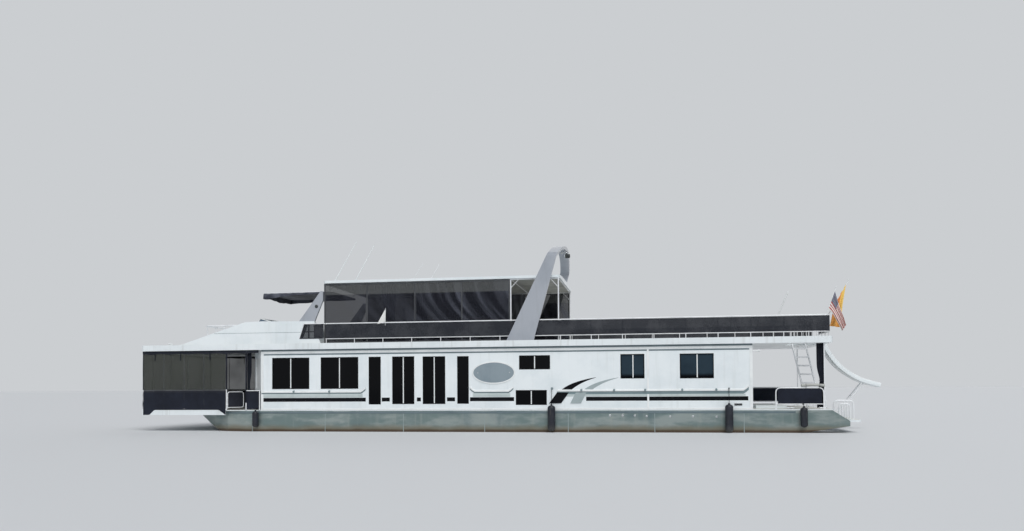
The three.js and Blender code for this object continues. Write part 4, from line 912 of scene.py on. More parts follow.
class Run:
    """A path in plan walked by its length; outward is to the left of the walk."""

    def __init__(self, corners, radius=0.05):
        self.path = rounded([(x, y, 0) for x, y in corners], radius)
        self.at = [0.0]
        for start, end in zip(self.path, self.path[1:]):
            self.at.append(self.at[-1] + (end - start).length)
        self.length = self.at[-1]

    def place(self, s):
        i = max(k for k in range(len(self.path) - 1) if self.at[k] <= s + 1e-9)
        start, end = self.path[i], self.path[i + 1]
        along = (end - start).normalized()
        return start + along * (s - self.at[i]), Vector((-along.y, along.x, 0))

    def nearest(self, x, side):
        """The length at which the run passes x on that side."""
        steps, wrong_side = 800, 99

        def miss(s):
            at = self.place(s)[0]
            return abs(at.x - x) + (0 if at.y * side > 0 else wrong_side)

        return min((self.length * k / steps for k in range(steps + 1)), key=miss)


def side_run(corners, side, radius=0.05):
    """A run along one side of the boat, walked so that outward is away from the middle."""
    return Run(corners if side > 0 else corners[::-1], radius)


def row_length(row):
    """The length of a row of points."""
    return sum((b - a).length for a, b in zip(row, row[1:]))


def mean_length(rows):
    return sum(row_length(row) for row in rows) / len(rows)


def flat_size(grid):
    """Width and length of a sheet before it was hung, from its rows of points."""
    length = mean_length(grid)
    area = 0.0
    for near, far in zip(grid, grid[1:]):
        for i in range(len(near) - 1):
            area += (near[i] - far[i + 1]).cross(near[i + 1] - far[i]).length / 2
    return area / length, length


def hang(name, finish, run, z, off, slot, cell=0.05, low=None, thick=0.003):
    """A sheet from z[1] down to z[0], or to low(s); off(s, v) moves it outward, with v from 0 at its top."""
    columns = max(2, round(run.length / cell))
    rows = max(3, round((z[1] - z[0]) / cell))
    grid = []
    for c in range(columns + 1):
        s = run.length * c / columns
        foot = low(s) if low else z[0]
        at, outward = run.place(s)
        grid.append([
            at + outward * off(s, r / rows) + UP * (z[1] + (foot - z[1]) * r / rows)
            for r in range(rows + 1)
        ])
    width = mean_length([list(row) for row in zip(*grid)])
    piece = Shape().sheet(grid).thicken(thick).done(name, finish, "boat", slot, smooth=60)
    return piece


def grid_of(columns, rows, place):
    """Rows of points; place(u, v) gives each, with u and v from 0 to 1."""
    return [[place(c / columns, r / rows) for r in range(rows + 1)] for c in range(columns + 1)]


def laid_out(name, finish, grid, thick, slot, body="boat", smooth=60):
    """A sheet built from rows of points, its flat size measured along them."""
    flat = flat_size(grid)
    piece = Shape().sheet(grid).thicken(thick).done(name, finish, body, slot, smooth)
    return piece


def canopy(name, finish, x, y, height, slot, cell=0.06, thick=0.002):
    """A sheet over a rectangle in plan; height(x, y) is its lower face."""
    columns, rows = round((x[1] - x[0]) / cell), round((y[1] - y[0]) / cell)
    grid = [
        [Vector((x[0] + (x[1] - x[0]) * c / columns, y[0] + (y[1] - y[0]) * r / rows, 0))
         for r in range(rows + 1)]
        for c in range(columns + 1)
    ]
    for line in grid:
        for point in line:
            point.z = height(point.x, point.y)
    flat = (mean_length(grid), mean_length([list(row) for row in zip(*grid)]))
    piece = Shape().sheet(grid).thicken(thick).done(name, finish, "boat", slot, smooth=60)
    return piece


def slack(size, seed, pitch=0.9, lean=0.5):
    """Shallow folds that lean across a sheet, strongest away from its edges."""
    def off(s, v):
        belly = math.sin(math.pi * min(max(v, 0.0), 1.0)) ** 0.5 if 0 < v < 1 else 0.0
        folds = math.sin((s / pitch + lean * v + 0.7 * ripple((s, v, 0), 0.6, seed)) * 2 * math.pi)
        return size * belly * (0.55 * folds + 0.9 * ripple((s, 1.5 * v, 1), 1.1, seed))
    return off


def band(shape, run, z, off, thick, cell=0.08):
    """A flat strip along a run, such as a hem or a bound edge."""
    count = max(2, round(run.length / cell))
    section = [(0, z[0]), (thick, z[0]), (thick, z[1]), (0, z[1])]
    rings = []
    for k in range(count + 1):
        at, outward = run.place(run.length * k / count)
        rings.append(shape.ring([at + outward * (off + d) + UP * h for d, h in section]))
    shape.solid(rings)


def upright(shape, run, s, width, z, off, thick):
    """A vertical strip across a run, such as a seam or a zip."""
    at, outward = run.place(s)
    along = Vector((outward.y, -outward.x, 0)) * width / 2
    corners = [at - along + outward * off, at + along + outward * off,
               at + along + outward * (off + thick), at - along + outward * (off + thick)]
    shape.prism([(c.x, c.y) for c in corners], in_plan, z)


# Porch

PORCH_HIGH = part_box("porch_screen")[1]
SKIRT_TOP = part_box("porch_skirt")[1].z
SKIRT_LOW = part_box("porch_skirt")[0].z
PORCH_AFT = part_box("porch_skirt")[0].x
PORCH_BOW = 12.4015
HEM = {"cut": 0.77, "aft": (9.16, 9.43), "bow": (12.13, 11.93)}    # climbs from each first X to its second
PORCH_OUT = FASCIA_Y + 0.002
PORCH_RUN = Run([(PORCH_AFT, PORCH_OUT), (PORCH_BOW, PORCH_OUT), (PORCH_BOW, -PORCH_OUT),
                 (PORCH_AFT, -PORCH_OUT)], 0.03)
PORCH_SEAMS = [9.99, 10.76, 11.55]
FRONT_POSTS = [-1.8, -0.6, 0.6, 1.8]
ROLL_TIES = [9.75, 10.9, 11.9]
VALANCE = {"aft": 7.9, "foot": 2.785, "scallop": 0.72, "fold": 0.36}


def skirt_foot(s):
    """The lower edge is cut up over the deck's side."""
    at, outward = PORCH_RUN.place(s)
    if abs(outward.y) < 0.5:
        return SKIRT_LOW
    rise = HEM["cut"] - SKIRT_LOW
    return SKIRT_LOW + rise * min(ramp(at.x, *HEM["aft"]), ramp(at.x, *HEM["bow"]))


def porch_skirt(spots):
    """The navy lower panels, with their hems and seams."""
    hems = Shape()
    band(hems, PORCH_RUN, (SKIRT_TOP - 0.06, SKIRT_TOP - 0.004), 0.004, 0.0025)
    for s in spots:
        upright(hems, PORCH_RUN, s, 0.05, (skirt_foot(s) + 0.01, SKIRT_TOP - 0.06), 0.004, 0.003)
    hem_piece = hems.done("porch_skirt_hems", VALANCE_CANVAS, slot="navy_fabric")
    folds = slack(0.012, 3, pitch=0.75, lean=0.6)
    skirt = hang("porch_skirt_cloth", NAVY_CANVAS, PORCH_RUN, (SKIRT_LOW, SKIRT_TOP),
                 lambda s, v: 0.001 + abs(folds(s, v)) + 0.004 * v,
                 "navy_fabric", low=skirt_foot)
    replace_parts(skirt, "porch_skirt")


def porch_screen(spots):
    """The insect screen over the panels, with its zips."""
    zips = Shape()
    for s in spots:
        upright(zips, PORCH_RUN, s, 0.018, (SKIRT_TOP + 0.004, 2.79), 0.002, 0.004)
    band(zips, PORCH_RUN, (SKIRT_TOP + 0.003, SKIRT_TOP + 0.05), 0.002, 0.004)
    zips.done("porch_zips", HEM_GREY, slot="navy_fabric")
    wavy = slack(0.01, 8, pitch=1.6, lean=0.2)
    screen = hang("porch_screen_sheet", PORCH_SCREEN, PORCH_RUN, (SKIRT_TOP + 0.001, PORCH_HIGH.z - 0.003),
                  lambda s, v: abs(wavy(s, v)) * 0.7, "clear_screen",
                  thick=0.0015)
    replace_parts(screen, "porch_screen")


def valance_foot(s):
    """The valance's lower edge is scalloped."""
    wave = 0.014 * math.sin(s * 2 * math.pi / VALANCE["scallop"])
    return VALANCE["foot"] + wave + 0.01 * ripple((s, 0, 0), 1.3, 5)


def porch_valance():
    """The valance under the eaves, and the ties of the rolled covers."""
    aft = VALANCE["aft"]
    eaves = Run([(aft, PORCH_OUT), (PORCH_BOW, PORCH_OUT), (PORCH_BOW, -PORCH_OUT), (aft, -PORCH_OUT)],
                0.03)

    def off(s, v):
        turn = s * 2 * math.pi / VALANCE["fold"] + ripple((s, 0, 2), 0.8) * 3
        return 0.012 + 0.006 * v * math.sin(turn)

    hang("porch_valance", VALANCE_CANVAS, eaves, (VALANCE["foot"], PORCH_HIGH.z - 0.001), off,
         "navy_fabric", low=valance_foot)
    ties = Shape()
    for x in ROLL_TIES:
        for side in SIDES.values():
            s = PORCH_RUN.nearest(x, side)
            upright(ties, PORCH_RUN, s, 0.03, (2.55, PORCH_HIGH.z - 0.01), 0.022, 0.003)
    ties.done("porch_roll_ties", NAVY_CANVAS, slot="navy_fabric")


def porch_cloth():
    """All of the porch's cloth, from its lower panels up to the valance."""
    spots = [PORCH_RUN.nearest(x, side) for x in PORCH_SEAMS for side in SIDES.values()]
    spots += [PORCH_RUN.length / 2 + across for across in FRONT_POSTS]
    porch_skirt(spots)
    porch_screen(spots)
    porch_valance()


porch_cloth()

PORCH = {"y": 2.42, "r": 0.02, "rail": 1.47, "head": 2.872, "aft": 8.39, "bow": 9.14, "front": 12.378,
         "middle": 10.76, "corner": 7.88, "full": ROOF_LOW - 0.001, "foot": DECK_TOP + GAP, "sill": 0.8 + GAP}


def porch_side(tubes, sleeves, side):
    """One side's posts and rails, the canvas sleeves on its posts, and the gate's hinge."""
    y, r, rail, full = side * PORCH["y"], PORCH["r"], PORCH["rail"], PORCH["full"]
    bow, aft, front, corner = PORCH["bow"], PORCH["aft"], PORCH["front"], PORCH["corner"]
    for x, low, high, radius in ((bow, PORCH["foot"], full, r), (aft, PORCH["foot"], full, r),
                                 (front, PORCH["sill"], full, r),
                                 (corner, PORCH["foot"], rail, r - 0.004),
                                 (PORCH["middle"], PORCH["sill"], full, r - 0.004)):
        tubes.tube([(x, y, low), (x, y, high)], radius)
        if x != front:
            tubes.lathe([(0.038, 0), (0.038, 0.006), (0.024, 0.012)], (x, y - side * 0.001, low),
                        segments=16)
    for x0, x1, z in ((bow, front, rail), (corner, aft, rail - 0.02), (aft, front, PORCH["head"])):
        tubes.tube([(x0, y, z), (x1, y, z)], 0.016)
    for x, low in ((bow, 1.5), (aft, 1.02), (front, 1.5)):
        sleeves.tube([(x, y, low), (x, y, 2.85)], r + 0.004)
    hinge = bow - 0.045
    tubes.box((hinge - 0.016, bow), (y - 0.014, y + 0.014), (0.82, 0.8345))
    for z in (1.18, 0.95):
        tubes.lathe([(0.024, 0.0), (0.024, 0.02)], (hinge, y, z), segments=16)
        tubes.box((hinge + 0.01, bow), (y - 0.012, y + 0.012), (z, z + 0.02))


def porch_tubes():
    """The porch's frame round its three sides, and the fixed panels abaft its gates."""
    y, front = PORCH["y"], PORCH["front"]
    tubes, sleeves = Shape(), Shape()
    for side in SIDES.values():
        porch_side(tubes, sleeves, side)
    for at in FRONT_POSTS:
        tubes.tube([(front, at, PORCH["sill"]), (front, at, PORCH["full"])], PORCH["r"] - 0.004)
    for z in (PORCH["rail"], PORCH["head"]):
        tubes.tube([(front, -y, z), (front, y, z)], 0.016)
    sleeves.done("porch_post_sleeves", NAVY_CANVAS, slot="navy_fabric")
    piece = tubes.done("porch_tubes", RAIL_TUBE, slot="rail_tube")
    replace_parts(piece, "porch_frame")
    for label, side in SIDES.items():
        run = side_run([(PORCH["corner"], side * y), (PORCH["aft"], side * y)], side)
        hang(f"{label}_gate_panel", NAVY_CANVAS, run, (0.79, PORCH["rail"] - 0.03), slack(0.006, 11 + side),
             "navy_fabric")


porch_tubes()


GATE = {"pin": 9.095, "reach": 0.65, "low": 0.85, "high": 1.41, "bar": 0.014}


def gate(label, side, angle):
    """A bent-tube gate with a cloth web, drawn shut about its hinge and turned to its rest."""
    pin, reach, low, high, bar = GATE.values()
    turn = Matrix.Translation((pin, side * PORCH["y"], 0)) @ Matrix.Rotation(math.radians(angle), 4, "Z")
    columns, rows = 14, 12
    grid = [
        [turn @ Vector((-0.025 - (reach - 0.05) * c / columns, 0.002 * ripple((c * 0.3, r * 0.4, 0), 1.0, 5),
                        low + 0.02 + (high - low - 0.04) * r / rows))
         for r in range(rows + 1)]
        for c in range(columns + 1)
    ]
    body = f"{label}_gate_leaf"
    laid_out(f"{label}_gate_web", VALANCE_CANVAS, grid, 0.0015,
             "navy_fabric", body)
    loop = rounded([(0, 0, low - 0.015), (0, 0, high), (-reach, 0, high), (-reach, 0, low),
                    (-0.01, 0, low)], 0.09)
    leaf = Shape().tube([turn @ point for point in loop], bar)
    piece = leaf.done(f"{label}_gate_leaf_tubes", RAIL_TUBE, body=body, slot="rail_tube")
    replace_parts(piece, f"{label}_gate")


gate("port", 1, 60)
gate("starboard", -1, 0)


# Rails

RAIL = {"y": 2.36, "top": 3.8, "low": 3.265, "bow": 5.43, "break": -11.18, "aft": -11.56, "gap": 0.56,
        "spaces": 16}
LACING_PITCH = 0.3


def flange(shape, at, r=0.036):
    """The round plate under a post."""
    shape.lathe([(r, 0), (r, 0.005), (r * 0.62, 0.012)], at, segments=16)


def post(shape, foot, top, r, flange_r=0.036):
    """An upright tube that stands on a flange."""
    shape.tube([foot, (foot[0], foot[1], top)], r)
    flange(shape, foot, flange_r)


def hoop(shape, x, y, z, corner, r, steps=5):
    """A tube bent up from one foot, along X and down to another."""
    path = [(x[0], y, z[0]), (x[0], y, z[1]), (x[1], y, z[1]), (x[1], y, z[0])]
    shape.tube(rounded(path, corner, steps), r)


def rail_posts():
    """X of each post along one side of the upper deck."""
    bow, aft = RAIL["bow"] - 0.02, RAIL["break"] + 0.02
    return [bow + (aft - bow) * i / RAIL["spaces"] for i in range(RAIL["spaces"] + 1)]


def deck_rail(label, side):
    """One bent top rail and one low rail from the bridge to the slide, on posts."""
    y, aft = side * RAIL["y"], RAIL["aft"]
    tubes = Shape()
    for z, r in ((RAIL["top"], 0.02), (RAIL["low"], 0.016)):
        tubes.tube(rounded([(RAIL["bow"], y, z), (aft, y, z), (aft, side * RAIL["gap"], z)], 0.16), r)
    for x in rail_posts():
        post(tubes, (x, y, ROOF_FLOOR), RAIL["top"], 0.014)
    for at in (2.12, 1.6, 1.08, RAIL["gap"]):
        post(tubes, (aft, side * at, ROOF_TOP), RAIL["top"], 0.014)
    piece = tubes.done(f"{label}_deck_rail", RAIL_TUBE, slot="rail_tube")
    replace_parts(piece, f"{label}_upper_rail", f"{label}_stern_rail")


def rail_mesh(label, side):
    """The mesh between the two rails, hemmed all round and laced to both."""
    low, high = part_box(f"{label}_rail_mesh")
    out = high.y if side > 0 else -low.y
    run = side_run([(low.x, side * 0.57), (low.x, side * out), (5.42, side * out)], side, 0.175)
    hems = Shape()
    for z in (low.z + 0.001, high.z - 0.036):
        band(hems, run, (z, z + 0.035), -0.0035, 0.0035)
    for x in rail_posts():
        upright(hems, run, run.nearest(x, side), 0.03, (low.z + 0.036, high.z - 0.036), -0.0035, 0.0035)
    edge = hems.done(f"{label}_mesh_hems", RAIL_MESH, slot="mesh_fabric")

    lacing = Shape()
    for k in range(int(run.length / LACING_PITCH)):
        at, outward = run.place(LACING_PITCH / 2 + LACING_PITCH * k)
        for z, r in ((RAIL["top"], 0.024), (RAIL["low"], 0.02)):
            hub = at - outward * 0.016 + UP * z
            lacing.tube([hub + (outward * math.cos(a) + UP * math.sin(a)) * r
                         for a in angles(10, closed=True)], 0.003, sides=5)
    lacing.done(f"{label}_mesh_lacing", TRIM_WHITE, slot="rail_tube")

    folds = slack(0.004, 21 + side, pitch=0.8, lean=0.4)
    sheet = hang(f"{label}_mesh_sheet", RAIL_MESH, run, (low.z, high.z),
                 lambda s, v: -0.0015 + folds(s, v) * 0.4,
                 "mesh_fabric", thick=0.0012)
    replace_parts(sheet, f"{label}_rail_mesh")


for label, side in SIDES.items():
    deck_rail(label, side)
    rail_mesh(label, side)

STAFFS = {
    # how far to port, and the foot and tip as X and height
    "ensign": {"y": 2.312, "foot": (-11.455, 3.79), "tip": (-11.77, 4.68)},
    "pennant": {"y": 2.05, "foot": (-11.56, 3.79), "tip": (-12.22, 4.92)},
}


def flag_staffs():
    """Two leaning staffs, each with a round head and two rings."""
    staffs = Shape()
    for staff in STAFFS.values():
        y, (fx, fz), (tx, tz) = staff["y"], staff["foot"], staff["tip"]
        staffs.tube([(fx, y, fz), (tx, y, tz)], 0.012)
        staffs.lathe([(0.006, 0.0), (0.02, 0.012), (0.02, 0.028), (0.006, 0.04)], (tx, y, tz - 0.004),
                     segments=14)
        for t in (0.06, 0.15):
            at = (fx + (tx - fx) * t, y, fz + (tz - fz) * t)
            staffs.lathe([(0.019, -0.012), (0.019, 0.012)], at, segments=14)
    staffs.done("flag_staffs", TRIM_WHITE, slot="rail_tube")


flag_staffs()


def limp_flag(name, finish, node, upper, lower, y, pleats, slot):
    """A flag falling limp from its staff; upper and lower are its two long edges as hoist, bend and fly."""
    rows, columns = 40, 48
    top, foot = bend(upper, columns), bend(lower, columns)
    grid = []
    for c in range(columns + 1):
        u = c / columns
        line = []
        for r in range(rows + 1):
            v = r / rows
            fold = math.sin(v * pleats * 2 * math.pi + 2.2 * ripple((u, v, 0), 1.4, 4))
            depth = (0.004 + 0.03 * u) * fold + 0.02 * ripple((u * 2, v * 2, 3), 1.2, 9) * u
            sway = 0.03 * ripple((u * 3, v * 3, 6), 1.0, 12) * u
            line.append(Vector((top[c][0] + (foot[c][0] - top[c][0]) * v + sway, y + depth,
                                top[c][1] + (foot[c][1] - top[c][1]) * v)))
        grid.append(line)
    shape = Shape().sheet(grid)
    layer = shape.bm.loops.layers.uv.new("UVMap")
    shape.bm.verts.index_update()
    for face in shape.bm.faces:
        for loop in face.loops:
            along, across = divmod(loop.vert.index, rows + 1)
            loop[layer].uv = (along / columns, 1 - across / rows)
    flat = flat_size(grid)
    piece = shape.thicken(0.0012).done(name, finish, "boat", slot, smooth=70)
    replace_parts(piece, node)


def flags():
    limp_flag("ensign", ENSIGN_CLOTH, "ensign_flag", [(-11.735, 4.56), (-11.84, 4.12), (-12.07, 3.46)],
              [(-11.525, 3.97), (-11.73, 3.82), (-11.94, 3.27)], 2.312, 2.5, "ensign_cloth")
    limp_flag("pennant", PENNANT_CLOTH, "pennant_flag", [(-12.14, 4.80), (-12.02, 4.2), (-11.93, 3.40)],
              [(-11.90, 4.39), (-11.80, 4.18), (-11.61, 3.45)], 2.062, 2.0, "pennant_cloth")


flags()


# Bridge and hardtop

HARDTOP_POSTS = [5.49, 2.16, -1.173, -2.807]
POST_Y = 2.28
FRAME_Z = 5.2076
LINER_HALF = 2.24
LINER_Z = 5.2275
SCREEN_SEAMS = [3.93, 2.2, 0.53]
LOOSE_FROM = (2.2, 1.0)    # the side screens hang flat up to the first X and in folds past the second
STITCH_PITCH = 0.28


def hardtop_tubes():
    """Posts up to a frame of tubes under the hardtop, with short braces at each post's head."""
    tubes = Shape()
    for side in SIDES.values():
        y = side * POST_Y
        for x in HARDTOP_POSTS:
            post(tubes, (x, y, ROOF_FLOOR), FRAME_Z, 0.024, 0.05)
        tubes.tube([(HARDTOP_POSTS[-1] - 0.036, y, FRAME_Z), (HARDTOP_POSTS[0] + 0.036, y, FRAME_Z)],
                   0.0225)
        for x in HARDTOP_POSTS[1:]:
            for way in (-1, 1):
                if x == HARDTOP_POSTS[-1] and way < 0:
                    continue
                tubes.tube([(x, y, FRAME_Z - 0.3), (x + way * 0.28, y, FRAME_Z)], 0.011, sides=8)
    for x in HARDTOP_POSTS:
        tubes.tube([(x, -POST_Y, FRAME_Z - 0.002), (x, POST_Y, FRAME_Z - 0.002)], 0.018)
    piece = tubes.done("hardtop_tubes", RAIL_TUBE, slot="rail_tube")
    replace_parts(piece, "hardtop_frame")


hardtop_tubes()


def liner_height(x, y):
    """Lining cloth sags between the bows, with creases that lean across it."""
    spans = sorted(HARDTOP_POSTS)
    i = max(k for k in range(len(spans) - 1) if spans[k] <= x + 1e-6 or k == 0)
    t = ramp(x, spans[i], spans[i + 1])
    edge = min(1.0, (LINER_HALF - abs(y)) / 0.3)
    sag = 0.05 * math.sin(math.pi * t) * edge
    crease = abs(ripple((x * 1.2 + 0.5 * y, y * 0.7 - 0.3 * x, 0), 1.6, 2))
    return LINER_Z - sag - 0.05 * crease * math.sin(math.pi * t) ** 0.6 * edge


canopy("hardtop_lining", LINER_CLOTH, (HARDTOP_POSTS[-1], HARDTOP_POSTS[0]), (-LINER_HALF, LINER_HALF),
       liner_height, "seat_vinyl", thick=0.0015)


def side_screen(label, side):
    """The draped mesh under the hardtop, with its hems, seams and pleat stitches."""
    low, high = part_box(f"{label}_side_screen")
    out = (high.y if side > 0 else -low.y) - 0.002
    run = side_run([(low.x, side * out), (high.x, side * out)], side)
    hems = Shape()
    for z in (low.z + 0.002, high.z - 0.062):
        band(hems, run, (z, z + 0.06), 0.0015, 0.003)
    seams = [*SCREEN_SEAMS, low.x + 0.025, high.x - 0.025]
    if side < 0:
        seams.append(-1.15)
    for x in seams:
        upright(hems, run, run.nearest(x, side), 0.045, (low.z + 0.062, high.z - 0.062), 0.0015, 0.003)
    for k in range(round(run.length / STITCH_PITCH) - 1):
        upright(hems, run, STITCH_PITCH * (k + 1), 0.016, (high.z - 0.24, high.z - 0.062), 0.0015, 0.0025)
    edge = hems.done(f"{label}_screen_hems", HEM_GREY, slot="mesh_fabric")
    swags = slack(0.03, 31 + side, pitch=0.62, lean=-0.55)
    calm = slack(0.008, 41 + side, pitch=1.9, lean=0.1)

    def off(s, v):
        loose = ramp(run.place(s)[0].x, *LOOSE_FROM)
        return -abs(swags(s, v)) * loose * 0.7 + calm(s, v) * 0.5

    sheet = hang(f"{label}_screen_sheet", SIDE_MESH, run, (low.z, high.z), off,
                 "mesh_fabric", thick=0.0012)
    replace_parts(sheet, f"{label}_side_screen")


for label, side in SIDES.items():
    side_screen(label, side)


def awning_cover():
    """One sheet over the arms whose bow and side edges hang down, bunched here and there."""
    x0, x1, half, drop = 5.6, 8.29, 1.235, 0.07

    def top(x, y):
        t = (x - x0) / (x1 - x0)
        droop = 0.035 * math.sin(math.pi * t) * math.cos(y / half * math.pi / 2)
        crease = 0.03 * abs(ripple((x * 2.6, y * 1.3, 0), 1.3, 6)) * (0.3 + t)
        return 5.058 - 0.012 * t - droop - crease

    along = [(x0 + (x1 - x0) * k / 54, 0.0) for k in range(55)] + [(x1 + 0.003, k / 4) for k in range(1, 5)]
    across = [(-half - 0.003, 1 - k / 4) for k in range(4)]
    across += [(-half + 2 * half * k / 44, 0.0) for k in range(45)]
    across += [(half + 0.003, k / 4) for k in range(1, 5)]
    grid = []
    for x, bow_hang in along:
        line = []
        for y, side_hang in across:
            hang_by = max(bow_hang, side_hang)
            sway = 0.012 * math.sin(x * 9 + y * 7) * hang_by
            ahead = max(0.0, (x - x0) / (x1 - x0)) ** 3
            bunch = 0.9 + 0.25 * ripple((x * 1.4, y * 1.4, 0), 1.0, 27)
            fall = drop * (1 + 2.0 * ahead) * hang_by * bunch
            line.append(Vector((x + (sway if bow_hang else 0), y + (sway if side_hang else 0),
                                top(x, y) - fall)))
        grid.append(line)
    laid_out("awning_cover", AWNING_CLOTH, grid, 0.002, "navy_fabric")


def awning_arms():
    """Two bent arms from the hardtop's fore edge, joined by two bars."""
    arms = Shape()
    half = 1.2
    for y in (half, -half):
        arms.box((5.5405, 5.551), (y - 0.03, y + 0.03), (5.24, 5.3))
        arms.tube(rounded([(5.556, y, 5.266), (5.76, y, 5.075), (8.28, y, 5.062)], 0.06), 0.0155)
    for x, z, r in ((8.27, 5.066, 0.013), (6.9, 5.078, 0.011)):
        arms.tube([(x, -half, z), (x, half, z)], r)
    piece = arms.done("awning_arms", RAIL_TUBE, slot="rail_tube")
    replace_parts(piece, "forward_awning")


awning_cover()
awning_arms()


SLOPE = {"head": (8.43, 3.905), "foot": (10.75, 3.17)}


def slope_height(x):
    """Where the posts stand on the bridge's slope at X."""
    head, foot = SLOPE["head"], SLOPE["foot"]
    return head[1] + (x - head[0]) * (foot[1] - head[1]) / (foot[0] - head[0]) + GAP


def slope_rail():
    """A low rail round the bridge's slope."""
    aft, bow, half, top = 8.8, 10.03, 2.3, 3.8
    tubes = Shape()
    corners = [(aft, half, top), (bow, half, top), (bow, -half, top), (aft, -half, top)]
    tubes.tube(rounded(corners, 0.15), 0.024)
    posts = [(bow, -half + 0.16 + i * (2 * half - 0.32) / 7) for i in range(8)]
    posts += [(9.3, half), (9.3, -half)]
    for x, y in posts:
        foot = slope_height(x)
        tubes.tube([(x, y, foot), (x, y, top)], 0.018)
        flange(tubes, (x, y, foot - 0.002), 0.03)
    piece = tubes.done("slope_rail_tubes", RAIL_TUBE, slot="rail_tube")
    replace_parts(piece, "slope_rail")


slope_rail()


def arch_gear():
    """A lamp and a horn that hang under the arch's crown."""
    x, y, z = lamp_at = (-2.9, 0, 6.3)
    lamp = Shape()
    lamp.tube([(x, y, z + 0.18), (x, y, z + 0.06)], 0.02)
    lamp.lathe([(0.05, -0.12), (0.075, -0.1), (0.075, 0.04), (0.05, 0.07)], lamp_at, axis="X")
    lamp.done("arch_lamp_body", DARK_RUBBER, slot="silver_paint")
    lens = Shape()
    lens.lathe([(0.066, 0.06), (0.06, 0.075), (0.03, 0.084)], lamp_at, axis="X")
    lens.done("arch_lamp_lens", TRIM_WHITE, slot="window")
    x, y, z = horn_at = (-2.86, 0.45, 6.36)
    horn = Shape()
    horn.tube([(x, y, z + 0.1), (x, y, z + 0.02)], 0.014)
    horn.lathe([(0.016, -0.16), (0.018, 0.02), (0.03, 0.08), (0.055, 0.13)], horn_at, axis="X")
    horn.done("arch_horn", STEEL, slot="rail_tube")


arch_gear()


def roof_whips():
    """Thick lower sleeves on the two long whips, and two short whips behind them."""
    whips = Shape()
    for foot, tip in (((5.45, 1.5, 5.35), (4.60, 1.5, 6.81)), ((4.67, 1.5, 5.35), (3.92, 1.5, 6.68))):
        foot, tip = Vector(foot), Vector(tip)
        whips.tube([foot + (tip - foot) * 0.004, foot + (tip - foot) * 0.55], 0.019)
        whips.tube([foot + (tip - foot) * 0.55, foot + (tip - foot) * 0.985], 0.0155)
    for foot, tip in (((2.62, 1.2, 5.36), (2.2, 1.2, 6.02)), ((1.95, 1.2, 5.36), (1.6, 1.2, 5.95))):
        foot, tip = Vector(foot), Vector(tip)
        whips.tube([foot, tip], 0.009, sides=8)
        whips.tube([foot, foot + (tip - foot) * 0.16], 0.016)
    whips.done("roof_whips", TRIM_WHITE, slot="gelcoat")


roof_whips()


def fin_lamps():
    """A round lamp on each bridge fin's side."""
    for label, side in SIDES.items():
        lamp = Shape().stud([(0.06, 0.0), (0.06, 0.012), (0.042, 0.024)], (5.78, side * 2.342, 4.42), side)
        lamp.done(f"{label}_fin_lamp", DARK_RUBBER, slot="silver_paint")


fin_lamps()


# Aft deck

def aft_rail(label, side, bow):
    """The aft deck's bent rail with a cloth panel, and the post behind it that carries the deck above."""
    y, aft, top, low = side * 2.38, -11.33, 1.45, 0.925
    tubes = Shape()
    hoop(tubes, (bow, aft), y, (DECK_TOP, top), 0.16, 0.018)
    tubes.tube([(bow, y, low), (aft, y, low)], 0.0135)
    tubes.tube([(aft - 0.032, y, DECK_TOP), (aft - 0.032, y, ROOF_LOW - GAP)], 0.0195)
    for x in (bow, aft):
        flange(tubes, (x, y, DECK_TOP))
    piece = tubes.done(f"{label}_aft_rail_tubes", RAIL_TUBE, slot="rail_tube")
    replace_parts(piece, f"{label}_aft_rail")
    run = side_run([(aft + 0.06, y), (bow - 0.06, y)], side)
    folds = slack(0.008, 51 + side, pitch=0.8)
    hang(f"{label}_aft_rail_cloth", NAVY_CANVAS, run, (low + 0.015, top - 0.02), folds,
         "navy_fabric")


aft_rail("port", 1, -9.85)
aft_rail("starboard", -1, -9.25)


def ladder():
    """Eight treads between two round stiles, from the aft deck to the deck above."""
    top, foot, spread = Vector((-10.8, 0.95, 3.06)), Vector((-11.2, 1.586, DECK_TOP + 0.002)), 0.29
    fall = foot - top
    along = Vector((-fall.y, fall.x, 0)).normalized() * -1
    tubes = Shape()
    for side in (1, -1):
        tubes.tube([top + along * side * spread, foot + along * side * spread], 0.027)
        at = foot + along * side * spread
        tubes.box((at.x - 0.033, at.x + 0.033), (at.y - 0.033, at.y + 0.033),
                  (DECK_TOP + GAP, DECK_TOP + 0.014))
    for i in range(8):
        t = (top.z - (DECK_TOP + 0.29 * (i + 0.9))) / (top.z - foot.z)
        at = top + fall * t
        tubes.tube([at + along * spread, at - along * spread], 0.018)
        inboard = Vector((0, -1, 0))
        tread = ((0.96, -0.03), (-0.96, -0.03), (-0.96, 0.06), (0.96, 0.06))
        corners = [at + along * spread * a + inboard * b for a, b in tread]
        tubes.prism([(c.x, c.y) for c in corners], in_plan, (at.z - 0.012, at.z + 0.034))
    piece = tubes.done("ladder_tubes", RAIL_TUBE, slot="rail_tube")
    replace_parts(piece, "boarding_ladder")


ladder()


# Fenders, each hung by a line from a hook on the cabin side

FENDERS = {"fender_bow": 0.112, "fender_middle": 0.13, "fender_quarter": 0.13, "fender_stern": 0.115}


